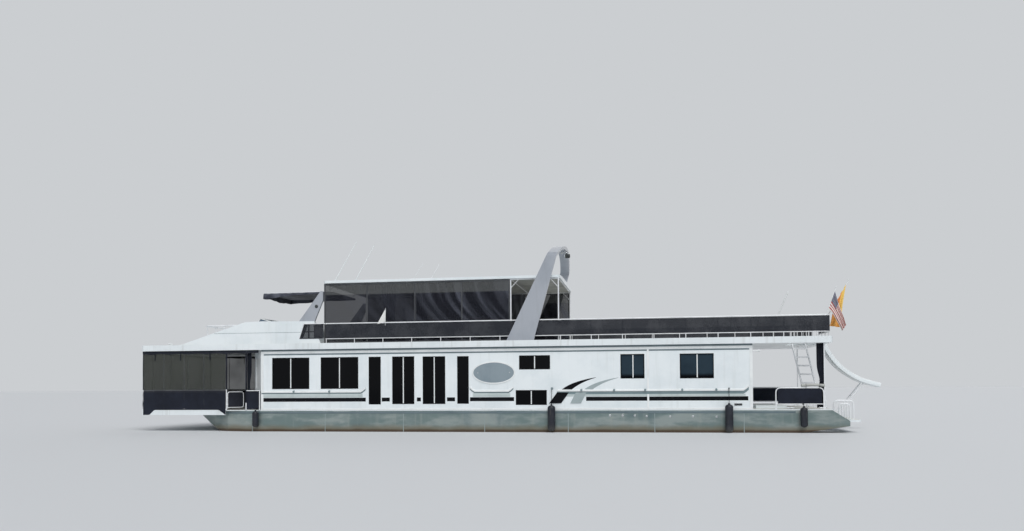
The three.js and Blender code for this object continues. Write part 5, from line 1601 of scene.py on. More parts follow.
def fender(name, r):
    """A domed and grooved cylinder with an eye at its top."""
    low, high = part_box(name)
    middle = (low + high) / 2
    half = (high.z - low.z - 0.04) / 2
    centre = Vector((middle.x, middle.y, low.z + half))
    steps = [math.pi / 2 * k / 6 for k in range(7)]
    dome = r * 0.75
    profile = [(0.012, -half)]
    profile += [(r * math.sin(a), -half + dome * (1 - math.cos(a))) for a in steps[1:]]
    ribs = 5
    for k in range(1, ribs * 4):
        h = -half + dome + (2 * half - 2 * dome) * k / (ribs * 4)
        profile.append((r - (0.004 if k % 4 == 0 else 0), h))
    profile += [(r * math.cos(a), half - dome + dome * math.sin(a)) for a in steps[:-1]]
    profile += [(r * 0.25, half - 0.004), (r * 0.25, half + 0.036), (0.012, half + 0.04)]
    body = Shape().lathe(profile, centre, segments=32)
    piece = body.done(name + "_body", FENDER_SKIN, slot="fender_vinyl", smooth=35)
    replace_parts(piece, name)


for name, radius in FENDERS.items():
    fender(name, radius)


# Small fittings and furniture

def fender_lines():
    """Taut lines from each fender's eye to what it hangs from."""
    made_fast = {
        # fender: where its line ends above it
        "fender_bow": (7.98, 2.415, 0.815),
        "fender_middle": (-2.58, 2.455, 1.47),
        "fender_quarter": (-8.37, 2.455, 1.44),
        "fender_stern": (-10.69, 2.40, 0.925),
    }
    lines = Shape()
    for name, top in made_fast.items():
        low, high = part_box(name)
        middle = (low + high) / 2
        lines.tube([(middle.x, middle.y, high.z - 0.02), (top[0], max(top[1], middle.y - 0.09), top[2])],
                   0.009, sides=8)
        lines.tube([(top[0] + 0.022 * math.cos(a), top[1] + 0.008, top[2] + 0.022 * math.sin(a))
                    for a in angles(12, closed=True)], 0.008, sides=6)
    lines.done("fender_lines", STRIPE_BLACK, slot="fender_vinyl")


fender_lines()


def oval_pins(label, side):
    """Two small pins that hold the blank oval plate."""
    pins = Shape()
    for across in (-0.55, 0.55):
        pins.stud([(0.016, 0.0), (0.016, 0.006), (0.008, 0.01)],
                  (OVAL["at"][0] + across, side * (WALL + 0.01), OVAL["at"][1]), side, 12)
    pins.done(f"{label}_oval_pins", STEEL, slot="rail_tube")


for label, side in SIDES.items():
    oval_pins(label, side)


# Bridge side, where the rail's mesh laps over the fairing

BOW_PANEL = {"out": 2.446, "foot": (6.37, 3.27), "head": (6.19, 3.79), "aft": 5.47, "thick": 0.004}


def bow_rail(label, side):
    """The top rail's bow end, out over the fairing, and the leaning bar at the mesh's edge."""
    out, foot, head, aft, _ = BOW_PANEL.values()
    edge = Shape()
    path = [(head[0] + 0.02, side * out, RAIL["top"]), (aft + 0.08, side * out, RAIL["top"]),
            (aft - 0.02, side * RAIL["y"], RAIL["top"])]
    edge.tube(rounded(path, 0.05), 0.018)
    edge.tube([(foot[0] + 0.01, side * out, foot[1]), (head[0] + 0.02, side * out, RAIL["top"])], 0.011)
    for x in (5.7, 6.1):
        edge.lathe([(0.02, 0.0), (0.02, 0.008)], (x, side * 2.441, RAIL["top"]), axis="Y", segments=12)
    edge.done(f"{label}_bow_rail", RAIL_TUBE, slot="rail_tube")


def bow_mesh(label, side):
    """A corner of open mesh with a leaning bow edge."""
    out, foot, head, aft, _ = BOW_PANEL.values()
    columns, rows = 20, 12

    def place(u, v):
        bow_x = foot[0] + (head[0] - foot[0]) * v
        y = out + 0.006 + 0.0015 * ripple((u * 2, v * rows * 0.3, 0), 1.2, 31)
        return Vector((aft + (bow_x - aft) * u, side * y, foot[1] + (head[1] - foot[1]) * v))

    laid_out(f"{label}_bow_mesh", BOW_MESH, grid_of(columns, rows, place), 0.0012,
             "mesh_fabric")


def bow_mesh_shadow_bands(label, side):
    """Dark bands sewn over the mesh, which also paint the shadow lines across it, and a painted shadow line
    along the fairing's lap.
    """
    out, foot, head, aft, thick = BOW_PANEL.values()
    off = ordered(side * (out - 0.001), side * (out + thick))
    lean = (head[0] - foot[0]) / (head[1] - foot[1])

    def bow_edge(z):
        return foot[0] + lean * (z - foot[1])

    low, high, middle, wide, seam = foot[1] + 0.002, head[1] - 0.002, 3.5, 0.13, 5.83
    # Painted shadow: the dark bands lie where shadow lines fall across the mesh.
    solid = Shape()
    solid.prism([(bow_edge(low) - 0.005, low), (bow_edge(high) - 0.005, high),
                 (bow_edge(high) - wide, high), (bow_edge(low) - wide, low)], in_profile, off)
    for x, z in (((6.0, 6.05), (low, high)), ((seam, bow_edge(middle) - wide), (middle, middle + 0.035)),
                 ((aft, seam), (low, high)), ((seam, bow_edge(low) - wide), (low, low + 0.035))):
        solid.box(x, off, z)
    solid.done(f"{label}_bow_mesh_shadow_bands", RAIL_MESH, slot="mesh_fabric")
    # Painted shadow: a grey line along the step where the fairing laps.
    lap = Shape()
    lap.box((5.64, 9.62), ordered(side * 2.4225, side * 2.4275), (3.4985, 3.512))
    lap.done(f"{label}_fairing_lap_shadow", SHADOW_GREY, slot="gelcoat")


for label, side in SIDES.items():
    bow_rail(label, side)
    bow_mesh(label, side)
    bow_mesh_shadow_bands(label, side)


def windscreen():
    """A low wrapped screen: clear panes in a white frame that falls away aft."""
    foot = rounded([(7.80, 1.45, 3.90), (8.60, 1.31, 3.90), (8.60, -1.31, 3.90), (7.80, -1.45, 3.90)],
                   0.22, 8)
    head = rounded([(7.80, 1.445, 3.955), (8.44, 1.28, 4.135), (8.44, -1.28, 4.135),
                    (7.80, -1.445, 3.955)], 0.22, 8)
    pane = Shape()
    rows = [[low + (high - low) * t for t in (0, 0.33, 0.66, 1)] for low, high in zip(foot, head)]
    piece = pane.sheet(rows).thicken(0.006).done("windscreen_pane", CLEAR_GLASS, slot="window", smooth=50)
    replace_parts(piece, "windshield")
    rim = Shape()
    rim.tube([point - UP * 0.004 for point in head], 0.017)
    rim.tube([point + UP * 0.004 for point in foot], 0.013)
    for at in (0, -1):
        rim.tube([foot[at], head[at] + UP * 0.002], 0.011)
    for y in (-0.65, 0.0, 0.65):
        rim.tube([(8.60, y, 3.905), (8.44, y, 4.132)], 0.008)
    rim.done("windscreen_frame", TRIM_WHITE, slot="gelcoat")


windscreen()


HELM_Y = (0.25, 1.35)
DASH_LEAN = Vector((-0.29, 0, 0.957))


def on_dash(t, y, off):
    """A point on the raked dash; t runs from its low aft edge to its high bow edge."""
    return Vector((7.705 + 0.22 * t + DASH_LEAN.x * off, y, 3.778 + 0.067 * t + DASH_LEAN.z * off))


def helm_console():
    """A console with a raked dash and a dark plate on it."""
    body = Shape()
    body.box((7.76, 8.1195), HELM_Y, (ROOF_FLOOR, 3.74))
    cowl = [(7.70, 3.775), (7.765, 3.70), (8.1195, 3.70), (8.1195, 3.845), (7.93, 3.845)]
    body.prism(cowl, in_profile, HELM_Y)
    piece = body.bevel(0.018, 3).done("helm_console_body", GELCOAT, slot="gelcoat", smooth=50)
    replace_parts(piece, "helm_console")
    low, high = HELM_Y[0] + 0.08, HELM_Y[1] - 0.08
    plate = Shape().prism([(0.08, low), (0.92, low), (0.92, high), (0.08, high)], on_dash, (0.001, 0.006))
    plate.done("helm_dash_plate", STRIPE_BLACK, slot="silver_paint")


def helm_gauges():
    """Five round gauges along the dash."""
    dials, glasses = Shape(), Shape()
    tilt = DASH_LEAN.to_track_quat("Z", "X").to_matrix().to_4x4()
    for k in range(5):
        place = Matrix.Translation(on_dash(0.55, HELM_Y[0] + 0.2 + 0.17 * k, 0.006)) @ tilt
        for shape, profile in ((dials, [(0.05, 0.0), (0.05, 0.008), (0.043, 0.011), (0.043, 0.004)]),
                               (glasses, [(0.042, 0.0), (0.042, 0.006)])):
            rings = [shape.ring([place @ Vector((r * math.cos(a), r * math.sin(a), h))
                                 for a in angles(24)]) for r, h in profile]
            shape.skin(rings)
            shape.bm.faces.new(rings[-1])
    dials.done("helm_gauge_rims", STEEL, slot="rail_tube")
    glasses.done("helm_gauge_glass", CABIN_GLASS, slot="window")


def helm_throttles():
    """Two levers with round knobs on a low block."""
    levers = Shape()
    levers.box((7.95, 8.08), (0.42, 0.56), (3.846, 3.9))
    for y in (0.455, 0.525):
        levers.tube([(8.01, y, 3.9), (7.98, y, 4.0)], 0.008)
        levers.lathe([(0.006, -0.02), (0.018, -0.01), (0.018, 0.012), (0.006, 0.02)], (7.977, y, 4.012),
                     segments=14)
    levers.done("helm_throttles", DARK_RUBBER, slot="silver_paint")


def helm_wheel():
    """A raked wheel with three spokes, on its shaft."""
    centre = Vector((7.62, 0.8, 3.6))
    turn = Matrix.Translation(centre) @ Matrix.Rotation(0.35, 4, "Y")
    wheel = Shape()
    wheel.tube([turn @ Vector((0, 0.21 * math.cos(a), 0.21 * math.sin(a)))
                for a in angles(48, closed=True)], 0.0135)
    wheel.done("helm_wheel_rim", DARK_RUBBER, slot="silver_paint")
    spokes = Shape()
    for a in angles(3):
        spokes.tube([centre, turn @ Vector((0, 0.2 * math.sin(a), 0.2 * math.cos(a)))], 0.008)
    spokes.tube([(7.785, 0.8, 3.535), (7.612, 0.8, 3.603)], 0.022)
    spokes.lathe([(0.035, -0.012), (0.04, 0.0), (0.028, 0.014)], centre, axis="X")
    spokes.done("helm_wheel_hub", STEEL, slot="rail_tube")


helm_console()
helm_gauges()
helm_throttles()
helm_wheel()


PAD_CAP = 0.018    # the furthest that filling may move a point of a pad
CLOTH_STEPS = 20


def row_points(path, step):
    """Points a short step apart along a path."""
    points = [Vector(path[0])]
    for a, b in zip(path, path[1:]):
        count = max(1, round((Vector(b) - Vector(a)).length / step))
        points += [Vector(a).lerp(Vector(b), k / count) for k in range(1, count + 1)]
    return points


def swell(piece):
    """Fills a pad by a short cloth run, and holds how far each point may move."""
    start = [vert.co.copy() for vert in piece.data.vertices]
    run = piece.modifiers.new("swell", "CLOTH")
    run.settings.use_pressure = True
    run.settings.uniform_pressure_force = 4
    run.settings.effector_weights.gravity = 0
    run.settings.quality = 5
    run.point_cache.frame_start, run.point_cache.frame_end = 1, CLOTH_STEPS
    scene = bpy.context.scene
    for step in range(1, CLOTH_STEPS + 1):
        scene.frame_set(step)
    filled = piece.evaluated_get(bpy.context.evaluated_depsgraph_get()).to_mesh()
    moved = [vert.co.copy() for vert in filled.vertices]
    piece.modifiers.remove(run)
    for vert, before, after in zip(piece.data.vertices, start, moved):
        way = after - before
        vert.co = before + way * min(1.0, PAD_CAP / max(way.length, 1e-9))
    scene.frame_set(1)


CHANNEL = {"at": (-0.33, 0.33), "depth": 0.011, "reach": 0.035}


def draw_in(piece, half_length):
    """Draws the vinyl down along the channels that are sewn across a pad's face."""
    for vert in piece.data.vertices:
        for at in CHANNEL["at"]:
            gap = abs(vert.co.y - half_length * at)
            if vert.co.z > 0 and gap < CHANNEL["reach"]:
                vert.co.z -= CHANNEL["depth"] * (1 - gap / CHANNEL["reach"]) ** 2


def on_vinyl(piece, loop):
    """The points of a seam moved onto the filled pad, evened between neighbours."""
    skin = BVHTree.FromPolygons([vert.co for vert in piece.data.vertices],
                                [face.vertices for face in piece.data.polygons])
    seam = [skin.find_nearest(Vector(point))[0] for point in loop]
    for _ in range(2):
        inner = [(a + 2 * b + c) / 4 for a, b, c in zip(seam, seam[1:], seam[2:])]
        seam = [seam[0], *inner, seam[-1]]
    return seam


def pad(name, size, place, seed):
    """A vinyl pad: a slightly small block, filled, then piped round both faces."""
    w, d, h = [value / 2 - 0.012 for value in size]
    block = Shape()
    block.box((-w, w), (-d, d), (-h, h))
    piece = block.bevel(0.03, 4).done(name, SEAT_VINYL, slot="seat_vinyl", smooth=180)
    remesh = piece.modifiers.new("even", "REMESH")
    remesh.mode = "VOXEL"
    remesh.voxel_size = 0.009
    even = bpy.data.meshes.new_from_object(piece.evaluated_get(bpy.context.evaluated_depsgraph_get()))
    piece.modifiers.remove(remesh)
    piece.data = even
    even.shade_smooth()
    swell(piece)
    draw_in(piece, d)
    seams = []
    for level in (-1, 1):
        corners = [(-w, 0, 0), (-w, -d, 0), (w, -d, 0), (w, d, 0), (-w, d, 0), (-w, 0, 0)]
        rim = row_points(rounded(corners, 0.045), 0.03)
        seams.append(on_vinyl(piece, [point + Vector((0, 0, level * (h - 0.01))) for point in rim]))
    for at in CHANNEL["at"]:
        across = [Vector((w * 0.93 * step / 12, d * at, h)) for step in range(-12, 13)]
        seams.append(on_vinyl(piece, across))
    for vert in piece.data.vertices:
        vert.co = place @ (vert.co + Vector((0, 0, 0.003 * ripple(vert.co, 5.0, seed))))
    piping = Shape()
    for seam, r in zip(seams, (0.006, 0.006, 0.0035, 0.0035)):
        piping.tube([place @ point for point in seam], r, sides=8)
    piping.done(name + "_piping", PIPING, slot="seat_vinyl")
    return piece


def helm_bench():
    """A locker seat for two, with a pad and a padded back for each."""
    base = Shape()
    base.box((6.66, 7.09), (0.31, 1.29), (ROOF_FLOOR, 3.365))
    base.bevel(0.02, 3)
    piece = base.done("helm_seat_base", GELCOAT, slot="gelcoat", smooth=50)
    trim = Shape()
    trim.box((7.0905, 7.094), (0.4, 1.2), (3.04, 3.32))
    trim.done("helm_seat_locker_face", TRIM_WHITE, slot="gelcoat")
    knob = Shape()
    knob.lathe([(0.012, 0.0), (0.012, 0.014), (0.02, 0.018), (0.02, 0.026), (0.008, 0.03)],
               (7.094, 0.8, 3.27), axis="X", segments=14)
    knob.done("helm_seat_locker_knob", STEEL, slot="rail_tube")
    for index, y in enumerate((0.527, 1.073)):
        seat = Matrix.Translation((6.865, y, 3.435))
        pad(f"helm_seat_pad_{index + 1}", (0.58, 0.54, 0.12), seat, 3 + index)
        lean = Matrix.Translation((6.59, y, 3.735)) @ Matrix.Rotation(math.radians(80), 4, "Y")
        pad(f"helm_back_pad_{index + 1}", (0.43, 0.54, 0.105), lean, 7 + index)
    frame_bars = Shape()
    for y in (0.42, 1.18):
        frame_bars.box((6.515, 6.535), (y - 0.03, y + 0.03), (3.37, 3.9))
        frame_bars.box((6.515, 6.68), (y - 0.03, y + 0.03), (3.352, 3.372))
    frame_bars.done("helm_back_bars", RAIL_TUBE, slot="rail_tube")
    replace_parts(piece, "helm_seat")


helm_bench()


def bow_lamp():
    """A small lamp on a foot at the roof's fore edge."""
    lamp = Shape()
    lamp.box((11.2, 11.38), (2.41, 2.47), (ROOF_TOP, ROOF_TOP + 0.025))
    lamp.bevel(0.006, 2)
    lamp.lathe([(0.028, 0.0), (0.028, 0.03), (0.018, 0.046)], (11.25, 2.44, ROOF_TOP + 0.02), segments=16)
    lamp.lathe([(0.035, -0.05), (0.04, 0.02), (0.026, 0.05)], (11.33, 2.44, ROOF_TOP + 0.05), axis="X",
               segments=16)
    lamp.done("bow_roof_lamp", TRIM_WHITE, slot="gelcoat")


bow_lamp()


def small_burgee():
    """A white three-cornered flag on a short staff at the bridge rail."""
    staff = Shape()
    staff.tube([(3.245, 2.385, 3.7), (3.23, 2.385, 4.3)], 0.007, sides=8)
    staff.lathe([(0.02, -0.02), (0.02, 0.02)], (3.245, 2.382, RAIL["top"]), segments=12)
    staff.done("burgee_staff", TRIM_WHITE, slot="rail_tube")

    def place(v, u):
        return Vector((3.24 + (0.02 + 0.27 * v) * u, 2.387 + 0.02 * math.sin(u * 7 + v * 2) * v,
                       4.24 - 0.42 * v - 0.07 * v * u))

    laid_out("burgee", BURGEE_CLOTH, grid_of(14, 12, place), 0.001, "pennant_cloth",
             smooth=70)


small_burgee()


def ladder_hoops():
    """Grab hoops round the ladder's head, and the short post and arm beside them."""
    hoops = Shape()
    for y, bow, aft, top in ((0.62, -10.62, -11.0, 3.74), (1.42, -10.62, -11.0, 3.74),
                             (1.02, -11.26, -11.42, 3.70)):
        hoop(hoops, (bow, aft), y, (ROOF_FLOOR, top), 0.12, 0.016)
        for x in (bow, aft):
            flange(hoops, (x, y, ROOF_FLOOR))
    hoops.tube([(-10.42, 0.62, 3.80), (-10.88, 0.9, 3.42)], 0.013)
    post(hoops, (-10.4, 0.62, ROOF_FLOOR), 3.82, 0.014)
    hoops.done("ladder_hoops", RAIL_TUBE, slot="rail_tube")


def deck_pole():
    """A white pole that leans in its socket, with two collars and a handle."""
    pole = Shape()
    x, y = -10.02, 0.9
    pole.tube([(x, y, 3.56), (-10.52, y, 4.72)], 0.024)
    pole.lathe([(0.01, -0.02), (0.022, 0.0), (0.01, 0.02)], (-10.52, y, 4.72), segments=12)
    pole.tube([(x, y, ROOF_FLOOR), (x, y, 3.62)], 0.018)
    pole.box((x - 0.08, x + 0.08), (y - 0.08, y + 0.08), (ROOF_FLOOR, ROOF_FLOOR + 0.02))
    for z in (3.44, 3.6):
        pole.lathe([(0.032, -0.02), (0.036, 0.0), (0.032, 0.02)], (x, y, z), segments=16)
    pole.tube([(x, y, 3.5), (-9.92, y, 3.62), (-9.98, y, 3.78)], 0.01)
    pole.done("deck_pole", TRIM_WHITE, slot="rail_tube")


ladder_hoops()
deck_pole()


def boarding_hoop_bars():
    """Grip sleeves over the hoops, the bars inside them, and a flange at every foot."""
    bars = Shape()
    hoops = ((-11.7, -12.31, 1.03, 0.024), (-11.86, -12.2, 0.93, 0.02))
    uprights = ((-11.955, 0.922), (-12.035, 1.022), (-12.115, 0.922))
    feet = [-11.7, -11.86, *(x for x, _ in uprights), -12.2, -12.31]
    step_top = 0.36
    for side in SIDES.values():
        y = side * 2.05
        for bow, aft, top, r in hoops:
            hoop(bars, (bow, aft), y, (step_top + 0.002, top), 0.15, r, 8)
        for x, top in uprights:
            bars.tube([(x, y, step_top), (x, y, top)], 0.016)
        for x in feet:
            bars.lathe([(0.03, 0.0), (0.03, 0.006), (0.02, 0.01)], (x, y, step_top + GAP), segments=14)
    bars.done("boarding_hoop_bars", RAIL_TUBE, slot="rail_tube")


boarding_hoop_bars()


def rolled_towel():
    """A rolled white cover lying along the port aft rail."""
    wraps, length = 2.6, 0.72

    def place(u, v):
        x = -10.64 - length * u
        a = 2 * math.pi * wraps * v
        r = 0.012 + 0.05 * v + 0.007 * ripple((x * 4, a * 0.4, 0), 1.0, 17)
        sag = 0.008 * math.sin(x * 9)
        return Vector((x, 2.38 + r * math.cos(a) * 1.15, 1.53 + r * math.sin(a) * 0.9 + sag))

    laid_out("rolled_cover", LINER_CLOTH, grid_of(40, 60, place), 0.0025,
             "seat_vinyl")
    straps = Shape()
    for x in (-10.78, -11.2):
        straps.tube([(x, 2.38 + 0.07 * math.cos(a), 1.505 + 0.07 * math.sin(a))
                     for a in angles(20, closed=True)], 0.006, sides=6)
    straps.done("rolled_cover_straps", NAVY_CANVAS, slot="navy_fabric")


rolled_towel()


def drawn_curtain(name, x, y, z, pull, folds, depth):
    """A navy curtain drawn back in folds; it narrows towards pull where it is tied."""
    width = x[1] - x[0]
    tied = 0.58

    def place(u, v):
        tie = 1 - 0.45 * math.exp(-((v - tied) / 0.14) ** 2)
        at = pull + (x[0] + width * u - pull) * tie
        crinkle = 0.006 * ripple((u * 4, v * 2, 0), 1.5, 14)
        fold = depth * tie * math.sin(u * 2 * math.pi * folds) + crinkle
        return Vector((at, y + fold, z[1] + (z[0] - z[1]) * v))

    piece = laid_out(name, NAVY_CANVAS, grid_of(round(folds * 16), 44, place), 0.002,
                     "navy_fabric")
    tie_z = z[1] + (z[0] - z[1]) * tied
    half_x, half_y = width * 0.31, depth + 0.012
    centre = pull + ((x[0] + x[1]) / 2 - pull) * 0.55
    ring = Shape().tube([(centre + half_x * math.cos(a), y + half_y * math.sin(a), tie_z)
                         for a in angles(24, closed=True)], 0.008, sides=6)
    ring.done(name + "_tie", VALANCE_CANVAS, slot="navy_fabric")
    return piece


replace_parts(drawn_curtain("aft_curtain_cloth", (-11.395, -11.135), 2.306, (0.8, ROOF_LOW - 0.012), -11.33,
                          folds=5.5, depth=0.02), "aft_curtain")
for label, side in SIDES.items():
    drawn_curtain(f"{label}_porch_curtain", (8.2, 8.362), side * 2.375, (0.8, 2.86), 8.34,
                  folds=4.5, depth=0.018)


SWAGS = [
    # aft and bow edges, and the X that it is drawn towards
    ((0.66, 2.08), 0.8),
    ((-1.05, 0.48), -0.9),
    ((2.9, 3.45), 3.0),
]
SWAG_Z = (3.86, 5.16)


def swag(name, x, side, pull):
    """A curtain inside the side screens, drawn aside low down."""
    def place(u, v):
        keep = 1 - 0.6 * v ** 2
        at = pull + (x[0] + (x[1] - x[0]) * u - pull) * keep
        drop = 0.28 * v * math.sin(math.pi * u) * (1 - v)
        depth = 0.014 + 0.036 * v
        fold = depth * math.sin(u * 2 * math.pi * 6 + ripple((u * 3, v * 2, 0), 1.0, 23) * 2)
        return Vector((at, side * (2.2 + fold), SWAG_Z[1] + (SWAG_Z[0] - SWAG_Z[1]) * v - drop))

    laid_out(name, SWAG_CLOTH, grid_of(84, 36, place), 0.0015, "mesh_fabric")


for label, side in SIDES.items():
    for number, (span, pull) in enumerate(SWAGS, 1):
        swag(f"{label}_swag_{number}", span, side, pull)


def aft_windows():
    """Panes and frames in the two openings beside the aft door."""
    panes, frames = Shape(), Shape()
    x, z = (-9.138, -9.062), (1.5, 2.5)
    lap, lip = 0.03, 0.022    # how far a frame covers the wall, and its opening
    for side in SIDES.values():
        y = ordered(side * 0.9, side * 1.9)
        panes.box((-9.103, -9.097), (y[0] + GAP, y[1] - GAP), (z[0] + GAP, z[1] - GAP))
        frames.box(x, (y[0] - lap, y[0] + lip), (z[0] - lap, z[1] + lap))
        frames.box(x, (y[1] - lip, y[1] + lap), (z[0] - lap, z[1] + lap))
        for low in (z[0] - lap, z[1] - lip):
            frames.box(x, (y[0] + lip, y[1] - lip), (low, low + lap + lip))
        middle = (y[0] + y[1]) / 2
        frames.box((-9.112, -9.088), (middle - 0.012, middle + 0.012), (z[0] + lip, z[1] - lip))
    panes.done("aft_window_panes", CABIN_GLASS, slot="window")
    frames.done("aft_window_frames", FRAME_BLACK, slot="gelcoat")


aft_windows()


def hatch_pulls():
    """Two sunk pull rings on each engine hatch, which ride on its lid."""
    lid_top, r = 0.8655, 0.026
    for label, side in SIDES.items():
        pulls = Shape()
        y = side * 0.62
        for x in (-10.15, -9.55):
            pulls.lathe([(0.045, -0.001), (0.045, 0.004), (0.034, 0.006), (0.034, 0.002)], (x, y, lid_top),
                        segments=24)
            pulls.tube([(x + r * math.cos(a), y + r * math.sin(a), lid_top + 0.0065)
                        for a in angles(20, closed=True)], 0.0045, sides=6)
        pulls.done(f"{label}_hatch_pulls", STEEL, body=f"{label}_hatch", slot="rail_tube")


hatch_pulls()


SLIDE_LINE = [(-11.12, 3.032), (-11.48, 3.032), (-11.66, 3.022), (-11.76, 2.9), (-11.91, 2.6),
              (-12.19, 2.22), (-12.52, 1.93), (-12.92, 1.686), (-13.28, 1.56), (-13.6, 1.47)]


def curve_through(points, steps):
    """A smooth curve through the points, in even steps of its parameter."""
    padded = [points[0], *points, points[-1]]
    curve = []
    spans = len(points) - 1
    for k in range(steps + 1):
        at = min(k / steps * spans, spans - 1e-9)
        i, t = int(at), at - int(at)
        a, b, c, d = padded[i:i + 4]
        square = [2 * p - 5 * q + 4 * r - s for p, q, r, s in zip(a, b, c, d)]
        cube = [3 * q - p - 3 * r + s for p, q, r, s in zip(a, b, c, d)]
        curve.append(tuple(0.5 * (2 * q + (r - p) * t + two * t * t + three * t ** 3)
                           for p, q, r, two, three in zip(a, b, c, square, cube)))
    return curve


SLIDE_HALF, SLIDE_WALL, SLIDE_FLOOR = 0.275, 0.122, 0.028


def slide_frames():
    """Places down the slide's line, each with the way that is up from its floor."""
    line = curve_through(SLIDE_LINE, 90)
    frames = []
    for i, (x, z) in enumerate(line):
        before, after = line[max(i - 1, 0)], line[min(i + 1, len(line) - 1)]
        tangent = Vector((after[0] - before[0], 0, after[1] - before[1])).normalized()
        frames.append((Vector((x, 0, z)), Vector((tangent.z, 0, -tangent.x))))
    return frames


def slide_trough(frames):
    """The moulded trough, and the rolled lips on its walls."""
    half, wall, floor = SLIDE_HALF, SLIDE_WALL, SLIDE_FLOOR
    port = [(half - 0.03, -floor), (half + 0.02, -floor * 0.3), (half + 0.02, wall - 0.012),
            (half + 0.012, wall), (half - 0.004, wall), (half - 0.005, 0.035), (half - 0.03, 0.006)]
    starboard = [(-y, h) for y, h in reversed(port)]
    section = [*starboard[5:], *port, (0, 0.0), *starboard[:5]]
    trough = Shape()
    trough.solid([trough.ring([at + rise * h + Vector((0, y, 0)) for y, h in section])
                  for at, rise in frames])
    piece = trough.done("slide_trough", GELCOAT, slot="gelcoat", smooth=50)
    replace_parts(piece, "slide")
    lips = Shape()
    for side in SIDES.values():
        out = Vector((0, side * (half + 0.006), 0))
        lips.tube([at + rise * (wall - 0.006) + out for at, rise in frames], 0.0145)
    lips.done("slide_lips", TRIM_WHITE, slot="gelcoat")


def slide_struts():
    """Two struts with feet and a cross bar, and a grip loop each side of the slide's head."""
    tubes = Shape()
    foot_z, grip_aft, grip_bow, grip_top = 0.3455, -11.4, -10.9, 3.76
    for side in SIDES.values():
        tubes.tube([(-13.075, side * 0.22, 1.582), (-12.06, side * 0.22, foot_z + 0.01)], 0.025)
        tubes.box((-12.11, -12.01), ordered(side * 0.18, side * 0.26), (foot_z, foot_z + 0.015))
        y = side * (SLIDE_HALF + 0.045)
        hoop(tubes, (grip_aft, grip_bow), y, (ROOF_FLOOR, grip_top), 0.14, 0.0165)
        for x in (grip_aft, grip_bow):
            flange(tubes, (x, y, ROOF_FLOOR))
        tubes.tube([(grip_aft, side * (SLIDE_HALF + 0.01), 3.09), (grip_aft, y, 3.09)], 0.0115)
    tubes.tube([(-12.72, -0.22, 1.158), (-12.72, 0.22, 1.158)], 0.011)
    tubes.done("slide_struts", RAIL_TUBE, slot="rail_tube")
    head_pad = Shape()
    head_pad.box((-11.158, -11.121), (-0.149, 0.149), (ROOF_FLOOR, 3.0175))
    head_pad.done("slide_head_pad", DARK_RUBBER, slot="gelcoat")


slide_trough(slide_frames())
slide_struts()


# Engines and drives

def engine_frame(label):
    """The block's low and high corners, its middle across the boat and its top."""
    low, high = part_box(f"{label}_engine")
    return low, high, (low.y + high.y) / 2, high.z


def engine_covers(label):
    """A ribbed cover over each bank and a plain one between them."""
    low, high, middle, top = engine_frame(label)
    covers = Shape()
    for way in (1, -1):
        across = ordered(middle + way * 0.15, middle + way * 0.31)
        covers.box((low.x + 0.1, high.x - 0.12), across, (top + GAP, top + 0.062))
    covers.box((low.x + 0.18, high.x - 0.2), (middle - 0.1, middle + 0.1), (top + GAP, top + 0.085))
    covers.bevel(0.012, 3)
    for k in range(9):
        x = low.x + 0.16 + 0.07 * k
        for way in (1, -1):
            across = ordered(middle + way * 0.165, middle + way * 0.295)
            covers.box((x, x + 0.012), across, (top + 0.058, top + 0.072))
    covers.done(f"{label}_engine_covers", ENGINE_PAINT, slot="engine_paint")


def engine_pulleys(label):
    """A round arrestor on top, and four grooved pulleys on the bow end."""
    low, high, middle, top = engine_frame(label)
    bright = Shape()
    bright.lathe([(0.06, -0.002), (0.095, 0.006), (0.095, 0.062), (0.06, 0.074), (0.012, 0.078)],
                 ((low.x + high.x) / 2 - 0.05, middle, top + 0.085), segments=32)
    for y, z, r in ((0, -0.12, 0.095), (-0.2, -0.02, 0.055), (0.2, -0.05, 0.06), (0.12, -0.26, 0.045)):
        groove = [(r * 0.35, 0.0), (r * 0.35, 0.03), (r, 0.032), (r * 0.86, 0.042), (r, 0.052),
                  (r * 0.5, 0.056)]
        bright.lathe(groove, (high.x, middle + y, top + z), axis="X", segments=28)
    bright.done(f"{label}_engine_pulleys", STEEL, slot="engine_paint")


def engine_hoses(label):
    """The belt round the pulleys, and a hose and an exhaust elbow on each bank."""
    low, high, middle, top = engine_frame(label)
    rubber = Shape()
    hubs = [(-0.255, -0.02), (-0.2, 0.037), (0.2, 0.012), (0.262, -0.05), (0.16, -0.29), (0.12, -0.307),
            (0, -0.217)]
    belt = [(high.x + 0.042, middle + y, top + z) for y, z in hubs]
    rubber.tube(rounded([*belt, belt[0]], 0.04), 0.007, sides=8)
    for way in (1, -1):
        side_y = middle + way * 0.362
        hose = [(low.x + 0.3, side_y, top - 0.2), (low.x + 0.3, side_y, top + 0.1),
                (low.x + 0.42, middle + way * 0.2, top + 0.115),
                (low.x + 0.5, middle + way * 0.09, top + 0.07)]
        rubber.tube(rounded(hose, 0.07), 0.02)
        elbow = [(low.x + along, middle + way * 0.23, top + rise)
                 for along, rise in ((0.14, 0.05), (0.14, 0.15), (0.03, 0.15), (0.03, -0.02))]
        rubber.tube(rounded(elbow, 0.06), 0.034, sides=16)
    rubber.done(f"{label}_engine_hoses", DARK_RUBBER, slot="engine_paint")


def pin_z(label):
    """The height of the propeller's axis, from the round end of its hub."""
    mesh = cad[f"{label}_propeller"].data
    place = cad[f"{label}_propeller"].matrix_world
    points = [place @ vert.co for vert in mesh.vertices]
    aft = min(point.x for point in points)
    rim = [point.z for point in points if point.x < aft + 1e-4]
    return (min(rim) + max(rim)) / 2


